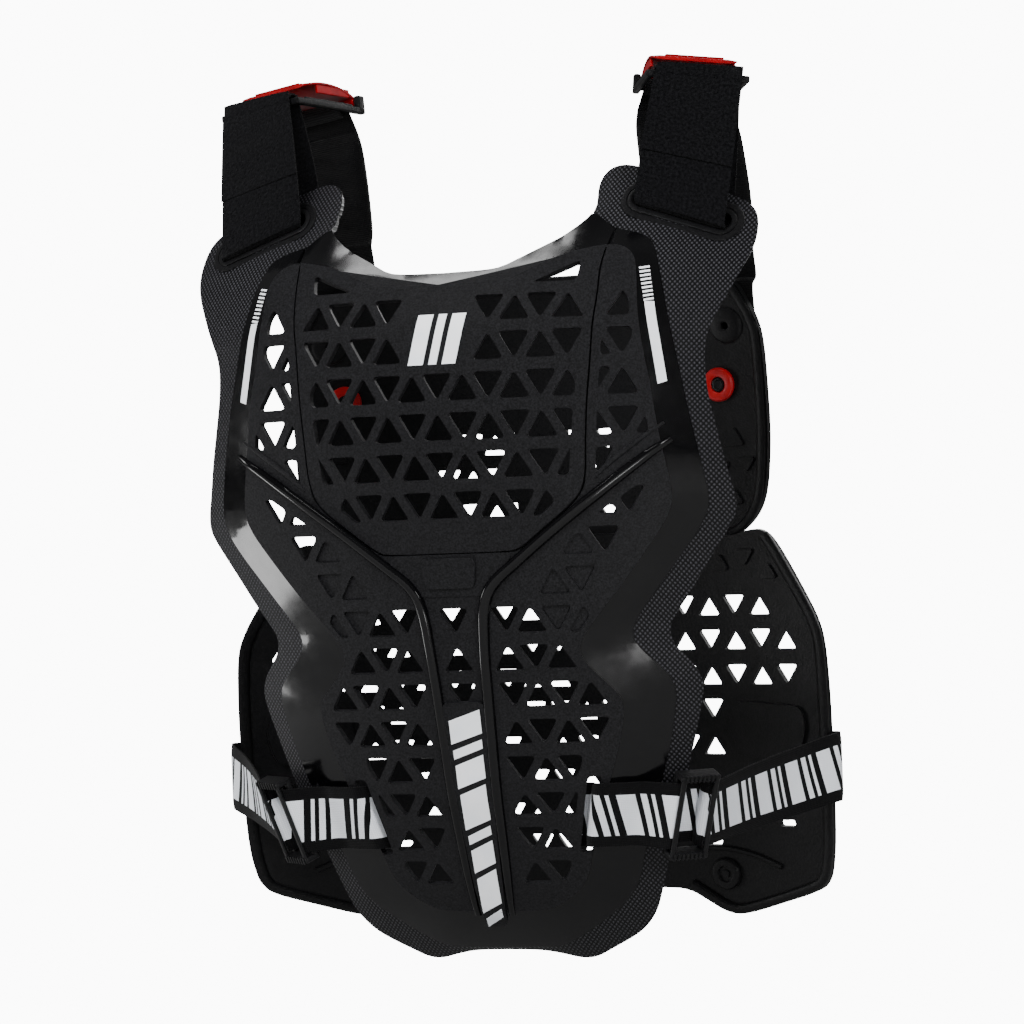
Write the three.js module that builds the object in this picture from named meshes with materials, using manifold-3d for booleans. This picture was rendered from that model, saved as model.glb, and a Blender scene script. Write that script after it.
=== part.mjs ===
import * as THREE from 'three';
import { mergeVertices } from 'three/addons/utils/BufferGeometryUtils.js';
import Module from 'manifold-3d';

const wasm = await Module();
wasm.setup();

// Roost deflector: a hard chest plate and two back plates held together by shoulder and waist straps.
// Millimetres, +Z up, the wearer faces -Y and the wearer's left is +X.
// The origin lies midway between the two shoulder buckles, just above and behind their front bars.

// Chest plate
const chestHalfWidth = 161;
const chestHeight = 443;
const chestTop = -55.5;
const chestForward = 107;
const chestBow = 320;
const plateWall = 3.5;
const bandDrop = 5;
const flangeDrop = 9;
const partGap = 0.4;

// Triangle lattice that pierces the plates
const latticePitch = 28;
const latticeRowPitch = 21.2;
const latticeStart = 75.5;
const holeWidth = 16.6;
const holeHeight = 14.2;
const holeMargin = 5;

// Raised details on the chest
const ridgeWidth = 6;
const ridgeHeight = 3.5;
const badgeWall = 2.2;
const spinePlateTop = -351.9;
const spinePlateTopHalf = 11;
const spinePlateBottomHalf = 6.5;
const spinePlateLength = 124;
const tabTop = -270.8;
const tabTopHalf = 15.5;
const tabBottomHalf = 13.5;
const tabHeight = 17;

// Shoulder straps, their eyelets in the plate and their buckles
const strapWidth = 47;
const strapWall = 2.2;
const slotLength = 56;
const slotHeight = 11;
const slotTilt = 19;
const slotInset = 40;
const slotDown = 29.5;
const eyeletRim = 6;
const eyeletWall = 2;
const buckleX = 128;
const buckleY = -8;
const buckleZ = -9;
const buckleTilt = 5;
const buckleYaw = 20;
const buckleBar = 4;
const rearBarY = 47;
const hingeY = 58;
const hingeZ = 6;
const pinRadius = 1.5;
const knuckleRadius = 3;
const leverReach = 44;
const leverWall = 2.4;
const backStrapDrop = 140;
const backStrapReach = 48;
const backStrapPad = 7;

// Back plates
const upperHalfWidth = 144;
const upperTop = -112;
const upperHeight = 160;
const upperBack = 112;
const upperBow = 330;
const lowerHalfWidth = 177;
const plateOverlap = 14;
const lowerHeight = 228;
const lowerTop = upperTop - upperHeight + plateOverlap;
const lowerBack = 107;
const lowerBow = 300;

// Studs on the back plates
const collarRadius = 10;
const collarBore = 4.6;
const collarWall = 3;
const buttonRadius = 4.1;
const snapRadius = 9.5;
const snapWall = 2.6;
const linkHead = 6;
const linkHeadWall = 1.6;
const linkShank = 4.2;
const linkHole = 6.6;

// Waist straps and their sliders
const waistWidth = 39;
const waistWall = 2;
const waistZ = -413;
const waistRise = 17;
const waistSlotX = 62;
const sliderX = 114;
const sliderY = -36;
const sliderTurn = 40;
const sliderLean = 13;
const sliderWidth = 24;
const sliderHeight = 49;
const sliderBar = 3.4;

// Colours and finishes
const finishes = {
  grille: { color: 0x1b1b1d, roughness: 0.62, metalness: 0 },
  shell: { color: 0x0c0c0e, roughness: 0.22, metalness: 0 },
  strap: { color: 0x121214, roughness: 0.95, metalness: 0 },
  buckle: { color: 0x151517, roughness: 0.5, metalness: 0 },
  red: { color: 0xc8141e, roughness: 0.4, metalness: 0 },
  back: { color: 0x161618, roughness: 0.6, metalness: 0 },
  badge: { color: 0x1a1a1c, roughness: 0.5, metalness: 0 },
};

// Sections of the chest plate from the ears down. Heights are shares of the plate's height, widths are
// shares of its half width: the matte panel, the glossy band round it and the flange's outer edge.
// middle is how far the middle of the section has dropped back towards the flange, as a share.
const chestSections = [
  { down: 0.0, panel: 0.547, gloss: 0.62, edge: 1.0, middle: 0.9 },
  { down: 0.045, panel: 0.547, gloss: 0.64, edge: 1.0, middle: 0.9 },
  { down: 0.09, panel: 0.56, gloss: 0.66, edge: 1.0, middle: 0.9 },
  { down: 0.112, panel: 0.572, gloss: 0.69, edge: 1.0, middle: 0.9 },
  { down: 0.141, panel: 0.646, gloss: 0.708, edge: 0.968, middle: 0.7 },
  { down: 0.155, panel: 0.65, gloss: 0.715, edge: 0.95, middle: 0 },
  { down: 0.18, panel: 0.654, gloss: 0.733, edge: 0.922, middle: 0 },
  { down: 0.213, panel: 0.665, gloss: 0.755, edge: 0.879, middle: 0 },
  { down: 0.247, panel: 0.675, gloss: 0.77, edge: 0.854, middle: 0 },
  { down: 0.286, panel: 0.696, gloss: 0.79, edge: 0.855, middle: 0 },
  { down: 0.338, panel: 0.712, gloss: 0.814, edge: 0.885, middle: 0 },
  { down: 0.396, panel: 0.739, gloss: 0.848, edge: 0.916, middle: 0 },
  { down: 0.432, panel: 0.745, gloss: 0.857, edge: 0.938, middle: 0 },
  { down: 0.462, panel: 0.699, gloss: 0.817, edge: 0.9, middle: 0 },
  { down: 0.518, panel: 0.581, gloss: 0.699, edge: 0.798, middle: 0 },
  { down: 0.568, panel: 0.463, gloss: 0.593, edge: 0.702, middle: 0 },
  { down: 0.588, panel: 0.419, gloss: 0.575, edge: 0.686, middle: 0 },
  { down: 0.608, panel: 0.409, gloss: 0.609, edge: 0.724, middle: 0 },
  { down: 0.638, panel: 0.475, gloss: 0.689, edge: 0.783, middle: 0 },
  { down: 0.658, panel: 0.53, gloss: 0.702, edge: 0.784, middle: 0 },
  { down: 0.683, panel: 0.532, gloss: 0.689, edge: 0.764, middle: 0 },
  { down: 0.746, panel: 0.481, gloss: 0.643, edge: 0.714, middle: 0 },
  { down: 0.848, panel: 0.379, gloss: 0.547, edge: 0.63, middle: 0 },
  { down: 0.891, panel: 0.348, gloss: 0.516, edge: 0.593, middle: 0 },
  { down: 0.92, panel: 0.248, gloss: 0.466, edge: 0.561, middle: 0 },
  { down: 0.931, panel: 0.186, gloss: 0.429, edge: 0.55, middle: 0 },
  { down: 0.954, panel: 0.124, gloss: 0.335, edge: 0.509, middle: 0.35 },
  { down: 0.979, panel: 0.075, gloss: 0.217, edge: 0.41, middle: 0.6 },
  { down: 1.0, panel: 0.037, gloss: 0.124, edge: 0.29, middle: 0.9 },
];

// Side profile of the chest plate: how far its middle leans back from the foremost point, as a share.
const chestProfile = [
  { down: 0.0, back: 0.66 },
  { down: 0.065, back: 0.435 },
  { down: 0.1, back: 0.305 },
  { down: 0.141, back: 0.15 },
  { down: 0.2, back: 0.04 },
  { down: 0.3, back: 0.0 },
  { down: 0.36, back: 0.012 },
  { down: 0.43, back: 0.062 },
  { down: 0.55, back: 0.165 },
  { down: 0.61, back: 0.228 },
  { down: 0.655, back: 0.29 },
  { down: 0.778, back: 0.443 },
  { down: 0.89, back: 0.655 },
  { down: 0.93, back: 0.74 },
  { down: 0.97, back: 0.855 },
  { down: 1.0, back: 0.955 },
];

// Lattice cells cut in each row: the first and last column, in half pitches from the middle.
const insertRows = [
  { row: 1, cells: [[-5, -2], [2, 5]] },
  { row: 2, cells: [[-5, -2], [2, 5]] },
  { row: 3, cells: [[-5, 5]] },
  { row: 4, cells: [[-5, 5]] },
  { row: 5, cells: [[-5, 5]] },
  { row: 6, cells: [[-4, 4]] },
];
const sideRows = [
  { row: 2, cells: [[6, 7]] },
  { row: 3, cells: [[6, 7]] },
  { row: 4, cells: [[6, 7]] },
  { row: 5, cells: [[6, 6]] },
  { row: 7, cells: [[6, 6]] },
];
const bellyRows = [
  { row: 9, cells: [[2, 3]] },
  { row: 10, cells: [[2, 4]] },
  { row: 11, cells: [[2, 5]] },
  { row: 12, cells: [[2, 5]] },
  { row: 13, cells: [[2, 4]] },
  { row: 14, cells: [[2, 4]] },
  { row: 15, cells: [[2, 3]] },
  { row: 16, cells: [[2, 3]] },
];
const spineRows = [
  { row: 9, cells: [[0, 0]] },
  { row: 10, cells: [[0, 0]] },
  { row: 11, cells: [[0, 0]] },
];

// Outline of the upper edge from the middle of the neck over the ear, as shares of the half width
// and of the plate's height.
const neckline = [
  { across: 0.0, down: 0.139 },
  { across: 0.2, down: 0.136 },
  { across: 0.26, down: 0.122 },
  { across: 0.38, down: 0.098 },
  { across: 0.447, down: 0.077 },
  { across: 0.47, down: 0.055 },
  { across: 0.463, down: 0.03 },
  { across: 0.475, down: 0.014 },
  { across: 0.5, down: 0.003 },
  { across: 0.54, down: 0.0 },
  { across: 0.6, down: 0.006 },
  { across: 0.92, down: 0.049 },
  { across: 0.982, down: 0.063 },
  { across: 1.02, down: 0.085 },
];

// Half outline of the centre insert below the neck.
const seam = [
  { across: 0.535, down: 0.088 },
  { across: 0.526, down: 0.141 },
  { across: 0.478, down: 0.385 },
  { across: 0.472, down: 0.4 },
  { across: 0.398, down: 0.433 },
  { across: 0.218, down: 0.48 },
];

// Half outlines of the back plates, from the top down.
const upperSections = [
  { down: 0.0, edge: 0.86 },
  { down: 0.1, edge: 0.925 },
  { down: 0.16, edge: 0.975 },
  { down: 0.25, edge: 0.993 },
  { down: 0.5, edge: 1.0 },
  { down: 0.64, edge: 1.0 },
  { down: 0.8, edge: 0.986 },
  { down: 0.91, edge: 0.9 },
  { down: 1.0, edge: 0.8 },
];
// Where the studs stand, as shares of their plate's half width and height.
const collarPlace = { across: 0.8, down: 0.39 };
const snapPlace = { across: 0.605, down: 0.89 };
const linkPlace = { across: 0.13, down: 0.03 };
const upperProfile = [
  { down: 0.0, back: 0.84 },
  { down: 0.24, back: 0.955 },
  { down: 0.55, back: 1.0 },
  { down: 1.0, back: 0.965 },
];
const lowerSections = [
  { down: 0.0, edge: 0.45 },
  { down: 0.035, edge: 0.79 },
  { down: 0.075, edge: 0.828 },
  { down: 0.25, edge: 0.966 },
  { down: 0.31, edge: 0.99 },
  { down: 0.42, edge: 1.0 },
  { down: 0.53, edge: 1.0 },
  { down: 0.77, edge: 0.983 },
  { down: 0.865, edge: 0.96 },
  { down: 0.935, edge: 0.91 },
  { down: 0.972, edge: 0.752 },
  { down: 1.0, edge: 0.62 },
];
const lowerProfile = [
  { down: 0.0, back: 0.967 },
  { down: 0.4, back: 1.0 },
  { down: 0.71, back: 1.05 },
  { down: 1.0, back: 1.16 },
];

// Sections of a back strap from its buckle down to the back plate. Places are shares of the strap's
// drop and reach, widths shares of the shoulder strap, walls shares of the pad's thickness.
const backStrapSections = [
  { down: 0.09, back: 0.05, width: 1.04, wall: 0.4, inward: 0.0 },
  { down: 0.17, back: 0.09, width: 1.15, wall: 0.9, inward: 0.1 },
  { down: 0.34, back: 0.2, width: 1.24, wall: 1.0, inward: 0.35 },
  { down: 0.48, back: 0.32, width: 1.24, wall: 0.9, inward: 0.55 },
  { down: 0.53, back: 0.42, width: 1.2, wall: 0.45, inward: 0.65 },
  { down: 0.66, back: 0.8, width: 1.12, wall: 0.43, inward: 0.9 },
  { down: 0.74, back: 1.0, width: 1.08, wall: 0.43, inward: 1.0 },
];

const radians = THREE.MathUtils.degToRad;

// Straight interpolation in a table of named columns.
function readTable(table, key, at, column) {
  let after = table.findIndex((row) => row[key] >= at);
  if (after < 0) after = table.length - 1;
  const before = Math.max(after - 1, 0);
  const span = table[after][key] - table[before][key] || 1;
  const share = THREE.MathUtils.clamp((at - table[before][key]) / span, 0, 1);
  return THREE.MathUtils.lerp(table[before][column], table[after][column], share);
}

function downAt(z) {
  return (chestTop - z) / chestHeight;
}

function heightAt(down) {
  return chestTop - down * chestHeight;
}

// Front surface of the chest plate: bowed round the chest, with the band and flange stepped back.
function chestY(x, z) {
  const down = downAt(z);
  const read = (column) => readTable(chestSections, 'down', down, column) * chestHalfWidth;
  const fromMiddle = Math.abs(x);
  const panel = read('panel');
  const gloss = read('gloss');
  const edge = read('edge');
  const middle = readTable(chestSections, 'down', down, 'middle') * flangeDrop;
  const band = Math.max(bandDrop, middle);
  let drop = middle;
  if (fromMiddle > gloss) {
    const share = Math.min((fromMiddle - gloss) / (edge - gloss), 1);
    drop = THREE.MathUtils.lerp(band, flangeDrop, share);
  } else if (fromMiddle > panel) {
    drop = THREE.MathUtils.lerp(middle, band, (fromMiddle - panel) / (gloss - panel));
  }
  const lean = readTable(chestProfile, 'down', down, 'back') * chestForward;
  return -chestForward + lean + (x * x) / (2 * chestBow) + drop;
}

// The two back plates bow the other way, round the wearer's back.
function upperY(x, z) {
  const down = (upperTop - z) / upperHeight;
  return readTable(upperProfile, 'down', down, 'back') * upperBack - (x * x) / (2 * upperBow);
}

function lowerY(x, z) {
  const down = (lowerTop - z) / lowerHeight;
  return readTable(lowerProfile, 'down', down, 'back') * lowerBack - (x * x) / (2 * lowerBow);
}

// A closed geometry with its faces pointing out, whichever way its triangles were listed.
function closedGeometry(positions, triangles) {
  const geometry = new THREE.BufferGeometry();
  geometry.setAttribute('position', new THREE.Float32BufferAttribute(positions, 3));
  let volume = 0;
  const corner = [new THREE.Vector3(), new THREE.Vector3(), new THREE.Vector3()];
  for (let i = 0; i < triangles.length; i += 3) {
    corner.forEach((point, j) => point.fromArray(positions, 3 * triangles[i + j]));
    volume += corner[0].dot(corner[1].clone().cross(corner[2]));
  }
  geometry.setIndex(volume < 0 ? triangles.slice().reverse() : triangles);
  return geometry;
}

function solidOf(geometry) {
  const bare = geometry.clone();
  bare.deleteAttribute('normal');
  bare.deleteAttribute('uv');
  const merged = mergeVertices(bare, 1e-4);
  return new wasm.Manifold(new wasm.Mesh({
    numProp: 3,
    vertProperties: new Float32Array(merged.attributes.position.array),
    triVerts: new Uint32Array(merged.index.array),
  }));
}

function geometryOf(solid) {
  const mesh = solid.getMesh();
  const geometry = new THREE.BufferGeometry();
  geometry.setAttribute('position', new THREE.Float32BufferAttribute(mesh.vertProperties, 3));
  geometry.setIndex(Array.from(mesh.triVerts));
  geometry.computeVertexNormals();
  return geometry;
}

// A grid of points on a front surface and the same grid one wall behind it, closed round the rim.
function slab(grid, surface, wall, offset) {
  const rows = grid.length;
  const columns = grid[0].length;
  const positions = [];
  for (const depth of [offset, offset + wall]) {
    grid.forEach((row) => row.forEach(([x, z]) => positions.push(x, surface(x, z) + depth, z)));
  }
  const place = (layer, i, j) => layer * rows * columns + i * columns + j;
  const triangles = [];
  const quad = (a, b, c, d) => triangles.push(a, b, c, a, c, d);
  for (let i = 0; i < rows - 1; i += 1) {
    for (let j = 0; j < columns - 1; j += 1) {
      quad(place(0, i, j), place(0, i + 1, j), place(0, i + 1, j + 1), place(0, i, j + 1));
      quad(place(1, i, j), place(1, i, j + 1), place(1, i + 1, j + 1), place(1, i + 1, j));
    }
    quad(place(0, i + 1, 0), place(0, i, 0), place(1, i, 0), place(1, i + 1, 0));
    const last = columns - 1;
    quad(place(0, i, last), place(0, i + 1, last), place(1, i + 1, last), place(1, i, last));
  }
  for (let j = 0; j < columns - 1; j += 1) {
    quad(place(0, 0, j), place(0, 0, j + 1), place(1, 0, j + 1), place(1, 0, j));
    const last = rows - 1;
    quad(place(0, last, j + 1), place(0, last, j), place(1, last, j), place(1, last, j + 1));
  }
  return solidOf(closedGeometry(positions, triangles));
}

// The chest grid has a column along each feature line, so band and flange keep their creases.
const panelColumns = [0, 0.36, 0.7];
function chestGrid() {
  return chestSections.map((section) => {
    const half = panelColumns.map((share) => share * section.panel);
    half.push(section.panel, section.gloss, section.edge);
    const mirrored = half.slice(1).reverse().map((share) => -share);
    return [...mirrored, ...half].map((share) => [share * chestHalfWidth, heightAt(section.down)]);
  });
}

function plateGrid(sections, halfWidth, top, height, columns) {
  return sections.map((section) => {
    const row = [];
    for (let j = -columns; j <= columns; j += 1) {
      row.push([(j / columns) * section.edge * halfWidth, top - section.down * height]);
    }
    return row;
  });
}

// A prism with its outline in X and Z that reaches right through the plates along Y.
const prismFront = -150;
const prismBack = 180;
function prism(outline, front = prismFront, back = prismBack) {
  const shape = new THREE.Shape(outline.map(([x, z]) => new THREE.Vector2(x, z)));
  const geometry = new THREE.ExtrudeGeometry(shape, { depth: back - front, bevelEnabled: false });
  geometry.rotateX(Math.PI / 2);
  geometry.translate(0, back, 0);
  return solidOf(geometry);
}

function mirrorOutline(half) {
  const other = half.filter(([x]) => x > 0).map(([x, z]) => [-x, z]).reverse();
  return [...half, ...other];
}

function chestPoint(point) {
  return [point.across * chestHalfWidth, heightAt(point.down)];
}

// Height of a lattice row: rows keep their pitch along the leaning surface.
function rowTop(row) {
  let z = chestTop - latticeStart;
  for (let i = 1; i < row; i += 1) {
    const lean = (chestY(0, z - latticeRowPitch) - chestY(0, z)) / latticeRowPitch;
    z -= latticeRowPitch / Math.hypot(1, lean);
  }
  return z;
}

function cellCorners(row, column) {
  const top = rowTop(row);
  const steep = (rowTop(row) - rowTop(row + 1)) / latticeRowPitch;
  const bottom = top - holeHeight * steep;
  const x = (column * latticePitch) / 2;
  const pointsDown = (row + Math.abs(column)) % 2 === 1;
  const [base, apex] = pointsDown ? [top, bottom] : [bottom, top];
  return [[x - holeWidth / 2, base], [x + holeWidth / 2, base], [x, apex]];
}

// Cuts a convex outline by a half plane: the side to the left of the line from a to b stays.
function clip(outline, [a, b]) {
  const side = ([x, z]) => (b[0] - a[0]) * (z - a[1]) - (b[1] - a[1]) * (x - a[0]);
  const kept = [];
  outline.forEach((point, i) => {
    const next = outline[(i + 1) % outline.length];
    const [here, there] = [side(point), side(next)];
    if (here >= 0) kept.push(point);
    if (here * there < 0) {
      const share = here / (here - there);
      kept.push([0, 1].map((axis) => THREE.MathUtils.lerp(point[axis], next[axis], share)));
    }
  });
  return kept;
}

function area(outline) {
  return Math.abs(THREE.ShapeUtils.area(outline.map(([x, z]) => new THREE.Vector2(x, z))));
}

// Cuts the cells of a field through a plate, each trimmed to the field's borders.
const smallestShare = 0.2;
function pierce(solid, rows, borders, mirrored) {
  const smallest = area(cellCorners(1, 0)) * smallestShare;
  let cut = solid;
  for (const { row, cells } of rows) {
    for (const [first, last] of cells) {
      for (let column = first; column <= last; column += 1) {
        const outline = borders.reduce(clip, cellCorners(row, column));
        if (outline.length < 3 || area(outline) < smallest) continue;
        cut = cut.subtract(prism(outline));
        if (mirrored) cut = cut.subtract(prism(outline.map(([x, z]) => [-x, z])));
      }
    }
  }
  return cut;
}

function chestLine(a, b, inset) {
  const [from, to] = [chestPoint(a), chestPoint(b)];
  const length = Math.hypot(to[0] - from[0], to[1] - from[1]);
  const shift = [(-(to[1] - from[1]) / length) * inset, ((to[0] - from[0]) / length) * inset];
  return [from, to].map(([x, z]) => [x + shift[0], z + shift[1]]);
}

function flipLine([a, b]) {
  return [[-b[0], b[1]], [-a[0], a[1]]];
}

// Outline of the centre insert, grown by a clearance. Its upper part is open space above the neck.
const insertAbove = [
  { across: 0.0, down: 0.09 },
  { across: 0.3, down: 0.09 },
  { across: 0.45, down: 0.051 },
];
function insertOutline(clearance) {
  const half = [...insertAbove, ...seam].map(chestPoint);
  const sides = half.map(([x, z]) => [x > 0 ? x + clearance : x, z]);
  const [x, z] = sides.pop();
  return mirrorOutline([...sides, [x, z - clearance], [0, z - clearance]]);
}

// A stadium turned in its plane, used for the eyelet slots.
function stadium(centre, length, height, tilt) {
  const radius = height / 2;
  const reach = length / 2 - radius;
  const turn = radians(tilt);
  const points = [];
  for (const end of [1, -1]) {
    for (let i = 0; i <= 5; i += 1) {
      const angle = -Math.PI / 2 + (Math.PI * i) / 5 + (end < 0 ? Math.PI : 0);
      const x = end * reach + radius * Math.cos(angle);
      const z = radius * Math.sin(angle);
      points.push([
        centre[0] + x * Math.cos(turn) - z * Math.sin(turn),
        centre[1] + x * Math.sin(turn) + z * Math.cos(turn),
      ]);
    }
  }
  return points;
}

const slotX = chestHalfWidth - slotInset;
const slotZ = chestTop - slotDown;
function slotOutline(side, margin) {
  const centre = [side * slotX, slotZ];
  return stadium(centre, slotLength + 2 * margin, slotHeight + 2 * margin, -side * slotTilt);
}

// The slot that a waist strap comes out of, along the edge of the matte panel.
const waistSlotHalf = 4.2;
const waistSlotEnds = 2;
function waistSlotOutline(side) {
  const half = waistWidth / 2 + waistSlotEnds;
  const lean = Math.tan(radians(sliderLean));
  const turns = [[-1, -1], [1, -1], [1, 1], [-1, 1]];
  return turns.map(([u, v]) => {
    const rise = v * half;
    return [side * (waistSlotX + u * waistSlotHalf + rise * lean), waistZ + rise];
  });
}

const chestSlab = slab(chestGrid(), chestY, plateWall, 0);

// Everything above the neckline and the ears.
const openSpace = 20;
function aboveNeckline() {
  const half = neckline.map(chestPoint);
  const [farX, farZ] = half[half.length - 1];
  const past = farX + openSpace;
  return mirrorOutline([...half, [past, farZ], [past, openSpace], [0, openSpace]]);
}

// The raised V of the chest: from the flange down to the spine, then along it.
const ridgeUpper = [{ across: 0.752, down: 0.352 }, { across: 0.15, down: 0.515 }];
const ridgeLower = [0.55, 0.7, 0.92];
const ridgeEndHalf = spinePlateBottomHalf + partGap + ridgeWidth / 2 + 1;
const ridgeStartHalf = spinePlateTopHalf + partGap + ridgeWidth / 2 + 2.5;
function ridge(side) {
  const [first, , last] = ridgeLower;
  const lower = ridgeLower.map((down) => [
    THREE.MathUtils.mapLinear(down, first, last, ridgeStartHalf, ridgeEndHalf), heightAt(down),
  ]);
  const centre = [...ridgeUpper.map(chestPoint), ...lower];
  const outer = centre.map(([x, z]) => [side * (x + ridgeWidth / 2), z - ridgeWidth / 3]);
  const inner = centre.map(([x, z]) => [side * (x - ridgeWidth / 2), z + ridgeWidth / 3]);
  return prism([...outer, ...inner.reverse()]);
}

// The shallow notch between the two lobes of the hem.
const hemNotch = [
  { across: 0.0, down: 0.987 },
  { across: 0.115, down: 0.987 },
  { across: 0.18, down: 0.993 },
  { across: 0.25, down: 1.002 },
  { across: 0.25, down: 1.05 },
  { across: 0.0, down: 1.05 },
];

// Borders of the fields of holes beside the insert and below it.
const sideBorder = [{ across: 0.715, down: 0.4 }, { across: 0.655, down: 0.15 }];
const waistBorder = [{ across: 0.532, down: 0.67 }, { across: 0.405, down: 0.6 }];
const hipBorder = [{ across: 0.36, down: 0.88 }, { across: 0.545, down: 0.66 }];
const ribBorder = [{ across: 0.409, down: 0.6 }, { across: 0.72, down: 0.445 }];

function chestShell() {
  const raised = slab(chestGrid(), chestY, ridgeHeight + plateWall, -ridgeHeight);
  let shell = chestSlab.add(raised.intersect(ridge(1).add(ridge(-1))));
  shell = shell.subtract(prism(aboveNeckline()));
  shell = shell.subtract(prism(insertOutline(partGap)));
  const inner = chestLine(seam[1], seam[2], holeMargin);
  const outer = chestLine(...sideBorder, holeMargin);
  shell = pierce(shell, sideRows, [inner, outer], true);
  const waist = chestLine(...waistBorder, holeMargin);
  const hip = chestLine(...hipBorder, holeMargin);
  const upper = chestLine(...ribBorder, holeMargin);
  shell = pierce(shell, bellyRows.slice(0, 1), [upper], true);
  shell = pierce(shell, bellyRows.slice(1), [waist, hip], true);
  shell = pierce(shell, spineRows, [], false);
  for (const side of [1, -1]) {
    shell = shell.subtract(prism(slotOutline(side, 0)));
    shell = shell.subtract(prism(waistSlotOutline(side)));
  }
  return shell.subtract(prism(mirrorOutline(hemNotch.map(chestPoint))));
}

function chestInsert() {
  let insert = chestSlab.intersect(prism(insertOutline(0)));
  insert = insert.subtract(prism(aboveNeckline()));
  const side = chestLine(seam[2], seam[1], holeMargin);
  const corner = chestLine(seam[5], seam[3], holeMargin);
  return pierce(insert, insertRows, [side, flipLine(side), corner, flipLine(corner)], false);
}

// Plain raised plates that stand just in front of the panel.
function badge(outline) {
  const front = slab(chestGrid(), chestY, badgeWall, -badgeWall - partGap);
  return front.intersect(prism(outline));
}

function eyelet(side) {
  const ring = prism(slotOutline(side, eyeletRim)).subtract(prism(slotOutline(side, 0)));
  const front = slab(chestGrid(), chestY, eyeletWall, -eyeletWall - partGap);
  return front.intersect(ring).subtract(prism(aboveNeckline()));
}

// A band of cloth through a row of sections: each has a centre, a direction across, width and wall.
function band(sections, loops) {
  const count = sections.length;
  const positions = [];
  sections.forEach((section, i) => {
    const before = sections[loops ? (i + count - 1) % count : Math.max(i - 1, 0)].centre;
    const after = sections[loops ? (i + 1) % count : Math.min(i + 1, count - 1)].centre;
    const along = after.clone().sub(before).normalize();
    const across = section.across.clone().normalize();
    const normal = across.clone().cross(along).normalize().multiplyScalar(section.wall / 2);
    const half = across.multiplyScalar(section.width / 2);
    for (const [u, v] of [[-1, 1], [1, 1], [1, -1], [-1, -1]]) {
      const point = section.centre.clone().addScaledVector(half, u).addScaledVector(normal, v);
      positions.push(point.x, point.y, point.z);
    }
  });
  const triangles = [];
  const quad = (a, b, c, d) => triangles.push(a, b, c, a, c, d);
  const steps = loops ? count : count - 1;
  for (let i = 0; i < steps; i += 1) {
    const here = 4 * i;
    const there = 4 * ((i + 1) % count);
    quad(here, here + 1, there + 1, there);
    quad(here + 1, here + 2, there + 2, there + 1);
    quad(here + 3, there + 3, there + 2, here + 2);
    quad(here + 3, here, there, there + 3);
  }
  if (!loops) {
    const end = 4 * (count - 1);
    quad(3, 2, 1, 0);
    quad(end, end + 1, end + 2, end + 3);
  }
  return closedGeometry(positions, triangles);
}

// Half turn of a strap round a bar, from one side of the bar over its top to the other.
function turnRound(y, z, radius, from, to, steps) {
  const points = [];
  for (let i = 0; i <= steps; i += 1) {
    const angle = radians(THREE.MathUtils.lerp(from, to, i / steps));
    points.push([y + radius * Math.cos(angle), z + radius * Math.sin(angle)]);
  }
  return points;
}

const loopRadius = buckleBar * 0.72 + partGap + strapWall / 2;

// Where the front strap goes round the bar above its slot: height over the slot's middle and depth behind
// the plate's front surface, both as shares of the slot's height. Walls counts plate walls added to it.
const frontStrapUnder = [
  { rise: 0.455, out: -0.818, walls: 0 },
  { rise: -0.073, out: -0.455, walls: 0 },
  { rise: -0.273, out: -0.045, walls: 0 },
  { rise: -0.273, out: 0.409, walls: 0 },
  { rise: 0.045, out: 0.418, walls: 1 },
  { rise: 1.273, out: 0.418, walls: 1 },
  { rise: 2.182, out: 0.273, walls: 1 },
];

// The buckle's own directions. It starts at the middle of its front bar, runs back and inwards over the
// shoulder and droops towards the arm.
function buckleAxes(side) {
  const turn = new THREE.Euler(0, side * radians(buckleTilt), side * radians(buckleYaw), 'ZYX');
  const matrix = new THREE.Matrix4().makeRotationFromEuler(turn);
  const [across, back, up] = [new THREE.Vector3(), new THREE.Vector3(), new THREE.Vector3()];
  matrix.extractBasis(across, back, up);
  const start = new THREE.Vector3(side * buckleX, buckleY, buckleZ);
  return { across: across.multiplyScalar(side), back, up, start, turn };
}

// The turn of a strap round a bar of the buckle, between two angles from straight back over the top.
function roundBuckleBar(side, barY, from, to, steps) {
  const { across, back, up, start } = buckleAxes(side);
  return turnRound(barY, 0, loopRadius, from, to, steps).map(([y, z]) => ({
    centre: start.clone().addScaledVector(back, y).addScaledVector(up, z),
    across: across.clone(),
    width: strapWidth,
    wall: strapWall,
  }));
}

// The front strap loops over the buckle's front bar and under the bar above the slot of the plate.
function frontStrap(side) {
  const upper = roundBuckleBar(side, 0, 0, 180, 6);
  const reach = (strapWidth / 2) * Math.cos(radians(slotTilt));
  const fall = (strapWidth / 2) * Math.sin(radians(slotTilt));
  const lower = frontStrapUnder.map(({ rise, out, walls }) => {
    const depth = out * slotHeight + walls * plateWall;
    const [inner, outer] = [-1, 1].map((end) => {
      const x = slotX + end * reach;
      const z = slotZ + rise * slotHeight - end * fall;
      return new THREE.Vector3(side * x, chestY(x, z) + depth, z);
    });
    return {
      centre: inner.clone().add(outer).multiplyScalar(0.5),
      across: outer.clone().sub(inner),
      width: strapWidth,
      wall: strapWall,
    };
  });
  return band([...upper, ...lower], true);
}

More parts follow.
